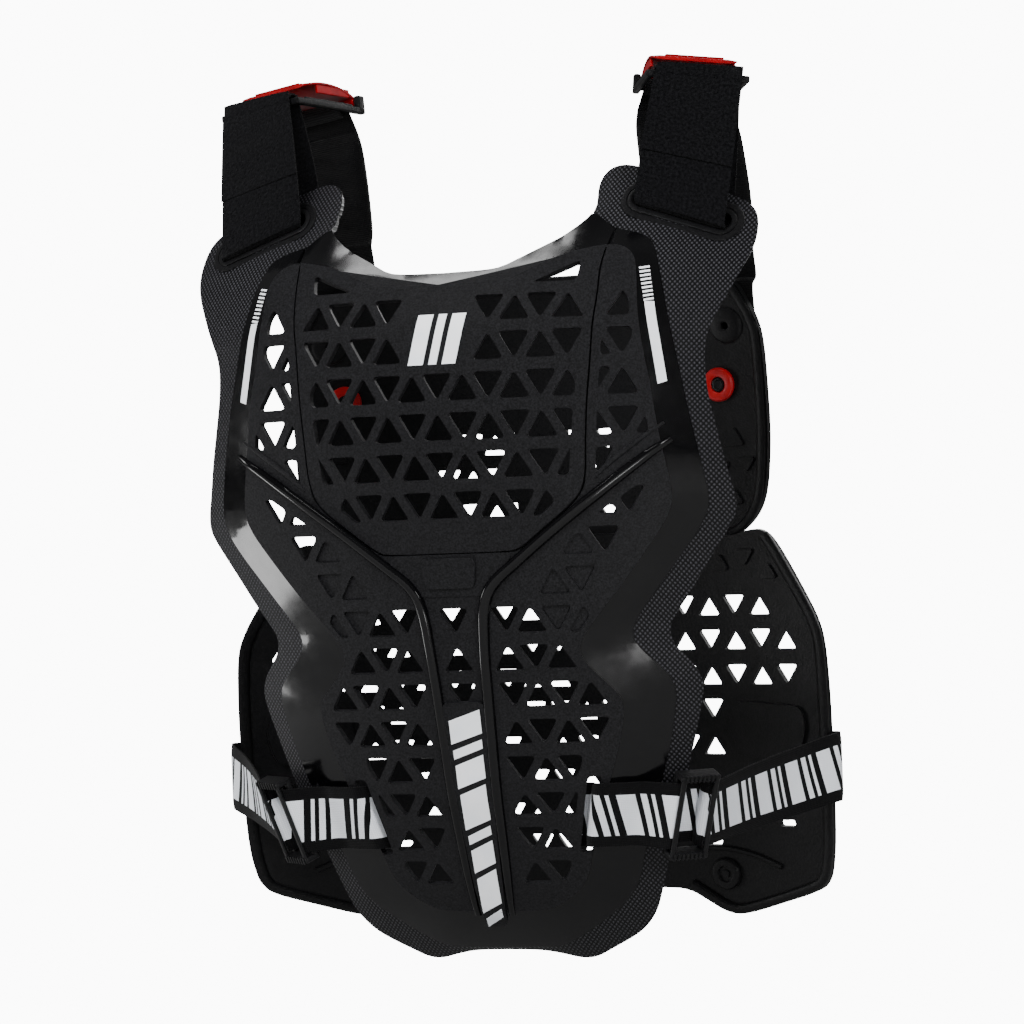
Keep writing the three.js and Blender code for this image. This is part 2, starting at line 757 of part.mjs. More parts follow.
// The back strap turns round the buckle's rear bar, is padded over the shoulder and ends behind the plate.
const backStrapEndX = 117;
const backStrapLap = [8, 34];
const backTurnSteps = 8;
function backStrap(side) {
  const turn = roundBuckleBar(side, rearBarY, 250, 0, backTurnSteps);
  const { centre: from, across: start } = turn[turn.length - 1];
  const along = new THREE.Vector3(side, -backStrapEndX / upperBow, 0).normalize();
  const endX = backStrapEndX;
  const fall = backStrapSections.map((section) => ({
    centre: new THREE.Vector3(
      side * THREE.MathUtils.lerp(side * from.x, endX, section.inward),
      from.y + section.back * backStrapReach,
      buckleZ - section.down * backStrapDrop,
    ),
    across: start.clone().lerp(along, section.inward),
    width: section.width * strapWidth,
    wall: section.wall * backStrapPad,
  }));
  const endWall = fall[fall.length - 1].wall;
  for (const drop of backStrapLap) {
    const z = upperTop - drop;
    const y = upperY(endX, z) + plateWall + partGap + endWall;
    fall.push({
      centre: new THREE.Vector3(side * endX, y, z),
      across: along.clone(),
      width: strapWidth,
      wall: endWall,
    });
  }
  return band([...turn, ...fall], false);
}

function box(width, depth, height, x, y, z) {
  const geometry = new THREE.BoxGeometry(width, depth, height);
  geometry.translate(x, y, z);
  return solidOf(geometry);
}

function rodAlongX(radius, length, x, y, z, sides) {
  const geometry = new THREE.CylinderGeometry(radius, radius, length, sides);
  geometry.rotateZ(Math.PI / 2);
  geometry.translate(x, y, z);
  return solidOf(geometry);
}

// Shoulder buckle: a frame with a bar for each strap, and lugs with the pin of the lever.
const railX = strapWidth / 2 + partGap + 1 + buckleBar / 2;
function buckleFrame() {
  const railLength = hingeY + knuckleRadius + buckleBar / 2;
  const railY = railLength / 2 - buckleBar / 2;
  let frame = box(2 * railX, buckleBar, buckleBar, 0, 0, 0);
  frame = frame.add(box(2 * railX, buckleBar, buckleBar, 0, rearBarY, 0));
  for (const end of [1, -1]) {
    frame = frame.add(box(buckleBar, railLength, buckleBar, end * railX, railY, 0));
    const lugHeight = hingeZ + knuckleRadius + buckleBar / 2;
    const lugZ = lugHeight / 2 - buckleBar / 2;
    frame = frame.add(box(buckleBar, 2 * knuckleRadius, lugHeight, end * railX, hingeY, lugZ));
  }
  return frame.add(rodAlongX(pinRadius, 2 * railX, 0, hingeY, hingeZ, 12));
}

// The lever is a plate that lies over the buckle, with a knuckle round the pin.
const leverHalf = railX - buckleBar / 2 - partGap;
const leverBend = 0.62;
const noseTilt = 2;
function lever() {
  const plateZ = hingeZ + knuckleRadius - leverWall / 2;
  const flat = leverReach * leverBend;
  let plate = box(2 * leverHalf, flat, leverWall, 0, hingeY - flat / 2, plateZ);
  const nose = new THREE.BoxGeometry(2 * leverHalf, leverReach - flat + 1, leverWall);
  nose.translate(0, -(leverReach - flat) / 2, 0);
  nose.rotateX(radians(noseTilt));
  nose.translate(0, hingeY - flat + 0.5, plateZ);
  plate = plate.add(solidOf(nose));
  plate = plate.add(rodAlongX(knuckleRadius, 2 * leverHalf, 0, hingeY, hingeZ, 16));
  return plate.subtract(rodAlongX(pinRadius + partGap, 4 * leverHalf, 0, hingeY, hingeZ, 12));
}

function upperPoint({ across, down }) {
  return [across * upperHalfWidth, upperTop - down * upperHeight];
}

function lowerPoint({ across, down }) {
  return [across * lowerHalfWidth, lowerTop - down * lowerHeight];
}

// Holes for the two rivets that hold the back plates together.
function linkHoles() {
  const [x, z] = lowerPoint(linkPlace);
  const hole = (centre) => prism(stadium([centre, z], linkHole * 1.002, linkHole, 0));
  return hole(x).add(hole(-x));
}

// The arch over the seat.
const seatArch = [
  { across: 0, down: 0.93 },
  { across: 0.36, down: 0.93 },
  { across: 0.56, down: 1.02 },
  { across: 0, down: 1.02 },
];

function upperPlate() {
  const grid = plateGrid(upperSections, upperHalfWidth, upperTop, upperHeight, 6);
  return slab(grid, upperY, plateWall, 0).subtract(linkHoles());
}

function lowerPlate() {
  const grid = plateGrid(lowerSections, lowerHalfWidth, lowerTop, lowerHeight, 7);
  const plate = slab(grid, lowerY, plateWall, 0);
  return plate.subtract(prism(mirrorOutline(seatArch.map(lowerPoint)))).subtract(linkHoles());
}

// Studs: turned about their own axis, then stood on the inner face of a curved plate.
function turned(profile) {
  const points = profile.map(([radius, along]) => new THREE.Vector2(radius, along));
  return mergeVertices(new THREE.LatheGeometry(points, 12), 1e-4);
}

function collarGeometry() {
  const edge = collarWall * 0.25;
  return turned([
    [collarBore, 0], [collarRadius, 0], [collarRadius, collarWall - edge],
    [collarRadius - edge, collarWall], [collarBore, collarWall], [collarBore, 0],
  ]);
}

function buttonGeometry(radius, wall, dish) {
  return turned([
    [0, 0], [radius, 0], [radius, wall * 0.7], [radius * 0.85, wall], [radius * 0.5, wall],
    [0, wall - dish],
  ]);
}

// Waist straps lie on the leaning plate: a section joins a point above to a point below.
function waistSection(side, x, z, surface, out, lean) {
  const half = waistWidth / 2;
  const ends = [half, -half].map((rise) => {
    const along = x + rise * Math.tan(radians(lean));
    return new THREE.Vector3(side * along, surface(along, z + rise) + out, z + rise);
  });
  const across = ends[0].clone().sub(ends[1]);
  const centre = ends[0].clone().lerp(ends[1], 0.5);
  return { centre, across, width: waistWidth, wall: waistWall };
}

// The slider's own directions: along the strap, across it and out from the body.
function sliderFrameAxes(side) {
  const turn = radians(sliderTurn);
  const along = new THREE.Vector3(side * Math.cos(turn), Math.sin(turn), 0);
  const rise = waistSection(side, sliderX, waistZ, chestY, 0, sliderLean).across.normalize();
  const out = along.clone().cross(rise).multiplyScalar(side).normalize();
  const across = out.clone().cross(along).multiplyScalar(side).normalize();
  return { along, across, out, centre: new THREE.Vector3(side * sliderX, sliderY, waistZ) };
}

// Turns a waist strap round one bar of its slider, in steps.
const sliderLoop = sliderBar * 0.8 + partGap + waistWall / 2;
function roundBar(side, barAlong, from, to, steps) {
  const { along, across, out, centre } = sliderFrameAxes(side);
  const sections = [];
  for (let i = 0; i <= steps; i += 1) {
    const angle = radians(THREE.MathUtils.lerp(from, to, i / steps));
    const point = centre.clone().addScaledVector(along, barAlong + sliderLoop * Math.cos(angle));
    point.addScaledVector(out, sliderLoop * Math.sin(angle));
    sections.push({ centre: point, across: across.clone(), width: waistWidth, wall: waistWall });
  }
  return sections;
}

// How the front piece comes through its slot: its place along the body and its depth behind the plate's
// front surface, as shares of the strap's width. Walls counts plate walls added to the depth.
const waistSlotRun = [
  { run: -0.18, out: 0.077, walls: 1 },
  { run: -0.051, out: 0.036, walls: 1 },
  { run: 0.015, out: -0.01, walls: 0 },
  { run: 0.118, out: -0.092, walls: 0 },
  { run: 0.436, out: -0.128, walls: 0 },
  { run: 0.692, out: -0.154, walls: 0 },
];
const barPlace = sliderWidth / 2 - sliderBar / 2;
function waistFront(side) {
  const onPlate = waistSlotRun.map(({ run, out, walls }) => {
    const depth = out * waistWidth + walls * plateWall;
    return waistSection(side, waistSlotX + run * waistWidth, waistZ, chestY, depth, sliderLean);
  });
  return band([...onPlate, ...roundBar(side, -barPlace, 110, -60, 6)], false);
}

// The rear piece runs from the slider round the outside of the back plate's wing and ends behind it.
const wingWrap = [
  { x: 0.3, y: 0.34 },
  { x: 0.66, y: 0.7 },
  { x: 0.92, y: 0.9 },
  { x: 1.0, y: 1.0 },
];
const wingBehind = [2, 9, 17, 26, 36];
function waistRear(side) {
  const bar = roundBar(side, barPlace, 240, 70, 6);
  const start = bar[bar.length - 1];
  const wingZ = waistZ + waistRise;
  const clear = plateWall + partGap + waistWall;
  const wingX = lowerHalfWidth + clear;
  const wingY = lowerY(lowerHalfWidth, wingZ) + 1;
  const upright = new THREE.Vector3(0, 0, 1);
  const outside = wingWrap.map(({ x, y }) => ({
    centre: new THREE.Vector3(
      side * THREE.MathUtils.lerp(side * start.centre.x, wingX, x),
      THREE.MathUtils.lerp(start.centre.y, wingY, y),
      THREE.MathUtils.lerp(waistZ, wingZ, x),
    ),
    across: start.across.clone().lerp(upright, x),
    width: waistWidth,
    wall: waistWall,
  }));
  const behind = wingBehind.map((x) => (
    waistSection(side, lowerHalfWidth - x, wingZ, lowerY, clear + 0.8, 0)
  ));
  return band([...bar, ...outside, ...behind], false);
}

function sliderFrame() {
  let frame = box(sliderBar, sliderBar, sliderHeight, -barPlace, 0, 0);
  frame = frame.add(box(sliderBar, sliderBar, sliderHeight, barPlace, 0, 0));
  const railZ = waistWidth / 2 + 2 + sliderBar / 2;
  for (const end of [1, -1]) {
    frame = frame.add(box(sliderWidth, sliderBar, sliderBar, 0, 0, end * railZ));
  }
  return frame;
}

// Assembly
const group = new THREE.Group();
group.name = 'roost_deflector';

function addMesh(name, geometry, finish, parent = group) {
  const mesh = new THREE.Mesh(geometry, new THREE.MeshStandardMaterial(finishes[finish]));
  mesh.name = name;
  parent.add(mesh);
  return mesh;
}

addMesh('chest_shell', geometryOf(chestShell()), 'shell');
addMesh('chest_insert', geometryOf(chestInsert()), 'grille');

// A plain raised plate that narrows towards the hem.
function taperedPlate(top, height, topHalf, bottomHalf) {
  const bottom = top - height;
  return badge(mirrorOutline([[0, top], [topHalf, top], [bottomHalf, bottom], [0, bottom]]));
}

const spine = taperedPlate(spinePlateTop, spinePlateLength, spinePlateTopHalf, spinePlateBottomHalf);
addMesh('spine_plate', geometryOf(spine), 'badge');
const tab = taperedPlate(tabTop, tabHeight, tabTopHalf, tabBottomHalf);
addMesh('chest_tab', geometryOf(tab), 'badge');

// Stands a stud on the inner face of a back plate, square to the curved surface.
function standOn(mesh, x, z, surface) {
  const step = 1;
  const slopeX = (surface(x + step, z) - surface(x - step, z)) / (2 * step);
  const slopeZ = (surface(x, z + step) - surface(x, z - step)) / (2 * step);
  const normal = new THREE.Vector3(slopeX, -1, slopeZ).normalize();
  mesh.position.set(x, surface(x, z), z).addScaledVector(normal, partGap);
  mesh.quaternion.setFromUnitVectors(new THREE.Vector3(0, 1, 0), normal);
}

for (const side of [1, -1]) {
  const word = side > 0 ? 'left' : 'right';
  addMesh(`strap_eyelet_${word}`, geometryOf(eyelet(side)), 'buckle');
  addMesh(`front_strap_${word}`, frontStrap(side), 'strap');
  addMesh(`back_strap_${word}`, backStrap(side), 'strap');
  const buckle = new THREE.Group();
  const { start, turn } = buckleAxes(side);
  buckle.position.copy(start);
  buckle.rotation.copy(turn);
  group.add(buckle);
  addMesh(`buckle_frame_${word}`, geometryOf(buckleFrame()), 'buckle', buckle);
  addMesh(`buckle_lever_${word}`, geometryOf(lever()), 'red', buckle);
  addMesh(`waist_front_${word}`, waistFront(side), 'strap');
  addMesh(`waist_rear_${word}`, waistRear(side), 'strap');
  const { along, across, centre } = sliderFrameAxes(side);
  const slider = new THREE.Group();
  const basis = new THREE.Matrix4().makeBasis(along, across.clone().cross(along), across);
  slider.position.copy(centre);
  slider.quaternion.setFromRotationMatrix(basis);
  group.add(slider);
  addMesh(`waist_slider_${word}`, geometryOf(sliderFrame()), 'buckle', slider);
}

// A rivet through both back plates, with a head on each face.
function linkRivet(length) {
  const [head, shank] = [linkHead, linkShank / 2];
  return turned([
    [0, 0], [head, 0], [head, linkHeadWall], [shank, linkHeadWall], [shank, length - linkHeadWall],
    [head, length - linkHeadWall], [head, length], [0, length],
  ]);
}

for (const side of [1, -1]) {
  const word = side > 0 ? 'left' : 'right';
  const [collarX, collarZ] = upperPoint(collarPlace);
  const collar = addMesh(`stud_collar_${word}`, collarGeometry(), 'red');
  standOn(collar, side * collarX, collarZ, upperY);
  const button = addMesh(`stud_button_${word}`, buttonGeometry(buttonRadius, collarWall, 1), 'buckle');
  standOn(button, side * collarX, collarZ, upperY);
  const [snapX, snapZ] = lowerPoint(snapPlace);
  const snap = addMesh(`snap_stud_${word}`, buttonGeometry(snapRadius, snapWall, 1.2), 'buckle');
  standOn(snap, side * snapX, snapZ, lowerY);
  const [linkX, linkZ] = lowerPoint(linkPlace);
  const from = lowerY(linkX, linkZ) - linkHeadWall - 3 * partGap;
  const to = upperY(linkX, linkZ) + plateWall + linkHeadWall + 2 * partGap;
  const link = addMesh(`link_rivet_${word}`, linkRivet(to - from), 'buckle');
  link.position.set(side * linkX, from, linkZ);
}

addMesh('upper_back_plate', geometryOf(upperPlate()), 'back');
addMesh('lower_back_plate', geometryOf(lowerPlate()), 'back');

export default group;
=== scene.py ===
import math

import bpy
import bmesh
import numpy as np
from bpy.props import FloatProperty, FloatVectorProperty, PointerProperty
from mathutils import Matrix, Vector
from mathutils.geometry import delaunay_2d_cdt


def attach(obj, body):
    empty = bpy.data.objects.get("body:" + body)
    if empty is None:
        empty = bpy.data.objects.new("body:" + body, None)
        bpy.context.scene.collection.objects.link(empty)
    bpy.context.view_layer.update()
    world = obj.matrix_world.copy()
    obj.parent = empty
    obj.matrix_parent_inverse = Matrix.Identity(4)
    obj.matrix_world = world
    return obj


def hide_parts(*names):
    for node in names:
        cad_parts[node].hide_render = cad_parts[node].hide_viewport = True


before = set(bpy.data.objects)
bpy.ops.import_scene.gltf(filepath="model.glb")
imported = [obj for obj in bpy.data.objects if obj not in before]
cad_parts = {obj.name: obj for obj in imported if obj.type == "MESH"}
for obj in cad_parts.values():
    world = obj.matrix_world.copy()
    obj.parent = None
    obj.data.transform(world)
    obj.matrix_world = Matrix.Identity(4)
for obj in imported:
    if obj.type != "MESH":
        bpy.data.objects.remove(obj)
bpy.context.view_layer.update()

bl_info = {
    "name": "Roost Deflector",
    "version": (1, 0, 0),
    "blender": (4, 5, 0),
    "location": "View3D > Sidebar > Roost Deflector",
    "description": "Models a worn roost deflector: pierced plates, shoulder straps, lever buckles and waist straps",
    "category": "Object",
}

MM = 0.001
BODY = "deflector"


def linear(text):
    """A colour written as sRGB hex, as the linear values that a shader takes."""
    values = [int(text[i:i + 2], 16) / 255 for i in (1, 3, 5)]
    return tuple(v / 12.92 if v <= 0.04045 else ((v + 0.055) / 1.055) ** 2.4 for v in values) + (1.0,)


def length_property(label, text, millimetres):
    """A length that a user can change, given here in millimetres."""
    return FloatProperty(name=label, description=text, default=millimetres * MM, subtype="DISTANCE", unit="LENGTH",
                         precision=5)


def angle_property(label, text, degrees):
    """An angle that a user can change, given here in degrees."""
    return FloatProperty(name=label, description=text, default=math.radians(degrees), subtype="ANGLE",
                         unit="ROTATION")


def colour_property(label, text, value):
    """A colour that a user can change, given here as sRGB hex."""
    return FloatVectorProperty(name=label, description=text, default=linear(value), subtype="COLOR", size=4,
                               min=0, max=1)


class RoostPlates(bpy.types.PropertyGroup):
    """Sizes of the plates and of their lattice."""

    plate_wall: length_property("Plate Wall", "Thickness of the chest and back plates", 3.5)
    band_drop: length_property("Band Drop", "How far the glossy band falls back at its outer edge", 5)
    flange_drop: length_property("Flange Drop", "How far the flange falls back at the plate's edge", 9.5)
    seam_gap: length_property("Seam Gap", "Width of the seam round the insert", 0.9)
    lattice_pitch: length_property("Lattice Pitch", "Distance between like holes in a row", 28)
    lattice_row: length_property("Lattice Row", "Distance between two rows of holes", 21.2)
    hole_width: length_property("Hole Width", "Base of a triangular hole", 17.2)
    hole_height: length_property("Hole Height", "Height of a triangular hole", 14.8)
    hole_corner: length_property("Hole Corner", "Rounding of a hole's corners", 2)
    hole_margin: length_property("Hole Margin", "Least distance from a hole to a border", 4.6)


class RoostStraps(bpy.types.PropertyGroup):
    """Sizes of the straps and of the slots that hold them."""

    strap_width: length_property("Shoulder Strap Width", "Width of the shoulder straps", 47)
    strap_wall: length_property("Shoulder Strap Wall", "Thickness of the shoulder straps", 2.2)
    slot_length: length_property("Slot Length", "Length of a strap slot in an ear", 56)
    slot_height: length_property("Slot Height", "Height of a strap slot in an ear", 11)
    waist_width: length_property("Waist Strap Width", "Width of the waist elastic", 39)
    waist_wall: length_property("Waist Strap Wall", "Thickness of the waist elastic", 2)


class RoostFittings(bpy.types.PropertyGroup):
    """Sizes of the shoulder buckles and waist sliders."""

    buckle_bar: length_property("Buckle Bar", "Thickness of the shoulder buckles' bars and rails", 4)
    buckle_rail: length_property("Buckle Rail Offset", "Distance of a rail from the buckle's middle", 26.9)
    rear_bar: length_property("Rear Bar", "Distance of the rear bar from the front bar", 47)
    hinge_back: length_property("Hinge Back", "Distance of the lever's pin behind the front bar", 58)
    hinge_height: length_property("Hinge Height", "Height of the lever's pin over the bars", 6)
    slider_width: length_property("Slider Width", "Length of a waist slider along the strap", 24)
    slider_height: length_property("Slider Height", "Height of a waist slider", 49)
    slider_bar: length_property("Slider Bar", "Thickness of a waist slider's bars", 3.4)


class RoostColours(bpy.types.PropertyGroup):
    """Colours of the finishes."""

    gloss: colour_property("Gloss", "Polished black plastic", "#030304")
    gloss_light: colour_property("Gloss Light", "Polished black plastic where dust has settled", "#070708")
    panel: colour_property("Panel", "Grained black plastic", "#1c1c1e")
    panel_dark: colour_property("Panel Dark", "Pits of the grained plastic", "#0b0b0c")
    # The flange is one black plastic: the grooves' darker colour is painted shade and the raised diamonds' lighter
    # colour is painted highlight.
    groove_painted_shade: colour_property("Flange Groove", "Grooves of the cross-hatch", "#080809")
    diamond_painted_highlight: colour_property("Flange Diamond", "Raised diamonds of the cross-hatch", "#3c3c40")
    back: colour_property("Back Plate", "Satin black plastic of the back plates", "#121213")
    back_dark: colour_property("Back Plate Dark", "Pits of the back plates' grain", "#080809")
    fitting: colour_property("Fitting", "Black nylon of buckles, sliders and studs", "#161617")
    fitting_dark: colour_property("Fitting Dark", "Pits of the nylon's grain", "#0b0b0c")
    lever: colour_property("Lever", "Red plastic of the levers", "#98040f")
    lever_dark: colour_property("Lever Dark", "Red plastic where handling has dulled it", "#74030b")
    collar: colour_property("Collar", "Red plastic of the stud collars", "#94080e")
    collar_dark: colour_property("Collar Dark", "Dulled red plastic of the collars", "#6c060a")
    ink: colour_property("Ink", "White print on the plates", "#fafcff")
    ink_dark: colour_property("Ink Dark", "White print where it is worn", "#f0f4fa")
    pile: colour_property("Pile", "Tips of the loop pile", "#111113")
    pile_dark: colour_property("Pile Dark", "Ground of the loop tape", "#030304")
    webbing: colour_property("Webbing", "Ribs of the webbing", "#0a0a0b")
    # Painted shade: the valleys of the webbing are coloured darker than its ribs.
    webbing_valley_shade: colour_property("Webbing Dark", "Valleys of the webbing", "#020203")
    quilt: colour_property("Quilt", "Ribs of the padded mesh", "#0c0c0d")
    # Painted shade: the valleys of the padded mesh are coloured darker than its ribs.
    quilt_valley_shade: colour_property("Quilt Dark", "Valleys of the padded mesh", "#030304")
    elastic: colour_property("Elastic", "Ribs of the black elastic", "#09090a")
    # Painted shade: the valleys of the black elastic are coloured darker than its ribs.
    elastic_valley_shade: colour_property("Elastic Dark", "Valleys of the black elastic", "#020203")
    bars: colour_property("Elastic Bars", "Ribs of the white bars", "#fcfdff")
    # Painted shade: the valleys of the white bars are coloured darker than their ribs.
    bars_dark: colour_property("Elastic Bars Dark", "Valleys of the white bars", "#dfe3ea")


class RoostStage(bpy.types.PropertyGroup):
    """The camera's place and the backdrop."""

    azimuth: angle_property("Azimuth", "Turn of the camera from straight ahead to the part's left", 15)
    elevation: angle_property("Elevation", "Height of the camera over the part", -1)
    roll: angle_property("Roll", "Turn of the camera about its line of sight", 2)
    distance: FloatProperty(
        name="Distance", description="Distance of the camera from its target", default=1.736,
        subtype="DISTANCE", unit="LENGTH",
    )
    target: FloatVectorProperty(
        name="Target", description="Where the camera looks", default=(0.0, 0.04, -0.245), size=3,
        subtype="TRANSLATION", unit="LENGTH",
    )
    lens: FloatProperty(
        name="Lens", description="Focal length of the camera", default=105.5, min=1, unit="CAMERA",
    )
    backdrop: FloatProperty(
        name="Backdrop", description="How bright the backdrop is to the camera", default=11.0, min=0,
    )
    backdrop_dim: FloatProperty(
        name="Backdrop Dim", description="How bright the backdrop is to the part", default=0.1, min=0,
    )


def plates(name):
    """A size of the plates in millimetres."""
    return getattr(bpy.context.scene.roost_plates, name) / MM


def straps(name):
    """A size of the straps in millimetres."""
    return getattr(bpy.context.scene.roost_straps, name) / MM


def fittings(name):
    """A size of the buckles and sliders in millimetres."""
    return getattr(bpy.context.scene.roost_fittings, name) / MM


def tint(name):
    """A colour of the finishes as a shader takes it."""
    return tuple(getattr(bpy.context.scene.roost_colours, name))


def loop_radius():
    """How far the middle of a shoulder strap runs from the middle of the bar it turns round."""
    return fittings("buckle_bar") * 0.72 + 0.4 + straps("strap_wall") / 2


# Chest plate, in millimetres, as it hangs from the shoulders. The wearer faces -Y and X runs to their left.
CHEST_TOP = -55.5
CHEST_HEIGHT = 443.0
CHEST_FORWARD = 107.0
CHEST_BOW = 320.0

# Half outlines from the middle of the neck over the ear and down to the middle of the hem.
EDGE = [
    (0, -117), (23, -116.5), (32, -115.2), (42, -109.5), (61, -99), (71, -90.5), (75.3, -84), (75, -77),
    (74.3, -69), (76, -62), (80, -57.2), (87, -55.5), (97, -58), (123, -67), (148, -77), (157, -82.5),
    (161, -91), (161, -106), (155, -121), (148, -136), (142, -148), (138.4, -157), (137.3, -168),
    (138.3, -185), (142, -204), (147, -230), (150, -243), (149.8, -251.5), (145, -260), (135, -275),
    (123, -294), (113.5, -307), (111, -314), (113.5, -322), (120, -329.5), (125, -337.5), (126, -346),
    (122.5, -360), (115, -386), (103, -424), (91, -462), (87, -471), (80.5, -479.3), (73, -485), (58, -493),
    (49.5, -497.6), (41, -498.2), (31, -495.2), (19, -492.6), (0, -492.3),
]
GLOSS = [
    (89.5, -95.2), (103, -98.6), (110, -104), (115.5, -122), (121, -149), (125.7, -174), (130, -198), (136, -231),
    (137.6, -243), (136, -251), (130, -262), (113, -284), (95.5, -307), (93, -315), (96, -323),
    (110, -336.5), (112.6, -345.5), (111, -358), (106, -379), (97, -405), (88, -431), (82, -452),
    (74, -463.5), (61, -473), (47, -482.5), (36, -488.5), (30, -489.8), (0, -490.0),
]
PANEL = [
    (0, -124), (23, -124), (36, -123.4), (43, -120.6), (59, -112), (73.5, -107.3), (88, -104.6), (96, -106.3),
    (101, -110.5), (104, -117.5), (106, -144), (109, -167), (112.2, -182), (114.7, -205), (118, -224),
    (120, -236), (120, -244.5), (117, -252.5), (111, -261.5), (93, -285.5), (79, -302), (69.5, -313.5),
    (66, -321), (67.5, -328), (76, -338), (84.5, -347), (86.3, -355), (82.5, -371), (77, -388),
    (60, -434), (57, -446), (51, -455), (40, -463), (31, -467.2), (0, -467.7),
]
SEAM = [
    (88.6, -96.0), (86.6, -104.6), (84.9, -118), (84.6, -134), (82.2, -153), (81, -171), (79, -192),
    (77.6, -212), (76.9, -226), (74.5, -236.5), (68, -244.2), (52, -257), (40, -266.2), (34.5, -268.2),
    (0, -268.2),
]

# How far the matte panels stand out from the glossy surface.
PANEL_RAISE = 0.35

# How far the middle of the chest plate leans back from its foremost point, as a share of that point's reach.
CHEST_LEAN = [
    (0.0, 0.66), (0.065, 0.435), (0.1, 0.305), (0.141, 0.15), (0.2, 0.04), (0.3, 0.0), (0.36, 0.012),
    (0.43, 0.062), (0.55, 0.165), (0.61, 0.228), (0.655, 0.29), (0.778, 0.443), (0.89, 0.655), (0.93, 0.74),
    (0.97, 0.855), (1.0, 0.955),
]

# Top of the lattice of triangular holes. Columns are half pitches from the middle, rows count down from the neck.
LATTICE_TOP = -131.0

# Least area of a trimmed hole, in square millimetres. Smaller ones are left out.
SMALLEST_HOLE = 24.0

# Where the strap slots, the shoulder buckles and the ends of the back straps are.
SLOT_X = 121.0
SLOT_Z = -85.0
SLOT_TILT = 19.0
BUCKLE = (128.0, -8.0, -9.0)
BUCKLE_TILT = 5.0
BUCKLE_YAW = 20.0
BACK_STRAP_END = 117.0
BACK_STRAP_REACH = 48.0
BACK_STRAP_DROP = 140.0

# Back plates: top, height, half width, reach behind the shoulders and radius of the bow.
UPPER_TOP = -112.0
UPPER_HEIGHT = 160.0
UPPER_BACK = 112.0
UPPER_BOW = 330.0
UPPER_REACH = 144
LOWER_TOP = -258.0
LOWER_REACH = 177
LOWER_HEIGHT = 228.0
LOWER_BACK = 107.0
LOWER_BOW = 300.0
UPPER_LEAN = [(0.0, 0.84), (0.24, 0.955), (0.55, 1.0), (1.0, 0.965)]
LOWER_LEAN = [(0.0, 0.967), (0.4, 1.0), (0.71, 1.05), (1.0, 1.16)]

# Where the waist straps and their sliders are, and how they are turned.
WAIST_Z = -413.0
WAIST_RISE = 17.0
WAIST_SLOT_X = 62.0
SLIDER_X = 114.0
SLIDER_Y = -36.0
SLIDER_TURN = 40.0
SLIDER_LEAN = 13.0


def smooth_table(rows, reach):
    """A table of pairs as a dense curve whose corners are rounded over the given reach."""
    keys, values = np.array(rows, float).T
    span = keys[-1] - keys[0]
    dense = np.linspace(keys[0] - 0.2 * span, keys[-1] + 0.2 * span, 1401)
    slope_low = (values[1] - values[0]) / (keys[1] - keys[0])
    slope_high = (values[-1] - values[-2]) / (keys[-1] - keys[-2])
    line = np.interp(dense, keys, values)
    line += np.where(dense < keys[0], (dense - keys[0]) * slope_low, 0)
    line += np.where(dense > keys[-1], (dense - keys[-1]) * slope_high, 0)
    size = max(3, int(reach / (dense[1] - dense[0])) | 1)
    window = np.hanning(size + 2)
    padded = np.pad(line, size, mode="reflect", reflect_type="odd")
    soft = np.convolve(padded, window / window.sum(), mode="same")[size:-size]
    return dense, soft


CHEST_CURVE = smooth_table(CHEST_LEAN, 0.05)
UPPER_CURVE = smooth_table(UPPER_LEAN, 0.3)
LOWER_CURVE = smooth_table(LOWER_LEAN, 0.3)


def mirrored(half):
    """A closed outline from its half on the wearer's left, listed from the middle line to the middle line."""
    other = [(-x, z) for x, z in reversed(half) if x > 0]
    return list(half) + other


def softened(points, closed=True, times=2):
    """An outline with its corners cut back in steps, so that they are round."""
    line = [tuple(point) for point in points]
    for _ in range(times):
        count = len(line)
        cut = []
        for i in range(count if closed else count - 1):
            a = np.array(line[i])
            b = np.array(line[(i + 1) % count])
            cut += [tuple(a * 0.75 + b * 0.25), tuple(a * 0.25 + b * 0.75)]
        if not closed:
            cut = [line[0]] + cut + [line[-1]]
        line = cut
    return line


def distance_to(points, line, closed):
    """The distance from each point to a line of straight steps."""
    points = np.asarray(points, float)
    line = np.asarray(line, float)
    starts = line if closed else line[:-1]
    ends = np.roll(line, -1, axis=0) if closed else line[1:]
    best = np.full(len(points), 1e9)
    for start, end in zip(starts, ends):
        step = end - start
        share = np.clip(((points - start) @ step) / max(step @ step, 1e-9), 0, 1)
        best = np.minimum(best, np.hypot(*(points - start - share[:, None] * step).T))
    return best


def inside(points, outline):
    """Which points lie within a closed outline."""
    points = np.asarray(points, float)
    x, z = points[:, 0], points[:, 1]
    result = np.zeros(len(points), bool)
    count = len(outline)
    for i in range(count):
        (ax, az), (bx, bz) = outline[i], outline[(i + 1) % count]
        crosses = (az > z) != (bz > z)
        with np.errstate(divide="ignore", invalid="ignore"):
            at = ax + (z - az) * (bx - ax) / (bz - az if bz != az else 1e-9)
        result ^= crosses & (x < at)
    return result


EDGE_LINE = softened(mirrored(EDGE))
PANEL_LINE = softened(mirrored(PANEL))
GLOSS_OPEN = softened(GLOSS + [(-x, z) for x, z in reversed(GLOSS) if x > 0], closed=False)
GLOSS_CLOSED = GLOSS_OPEN + [(-75.5, -84), (-61, -99), (-42, -109.5), (-23, -116.5), (0, -117), (23, -116.5),
                             (42, -109.5), (61, -99), (75.5, -84)]


# Least sum of the distances to the band's and the flange's outline, which meet at the neck.
OUTLINES_MEET = 2.0


def chest_base(points):
    """Depth of the chest panel's surface, without the steps of its band and flange."""
    points = np.asarray(points, float)
    down = (CHEST_TOP - points[:, 1]) / CHEST_HEIGHT
    lean = np.interp(down, *CHEST_CURVE)
    return CHEST_FORWARD * (lean - 1) + points[:, 0] ** 2 / (2 * CHEST_BOW)


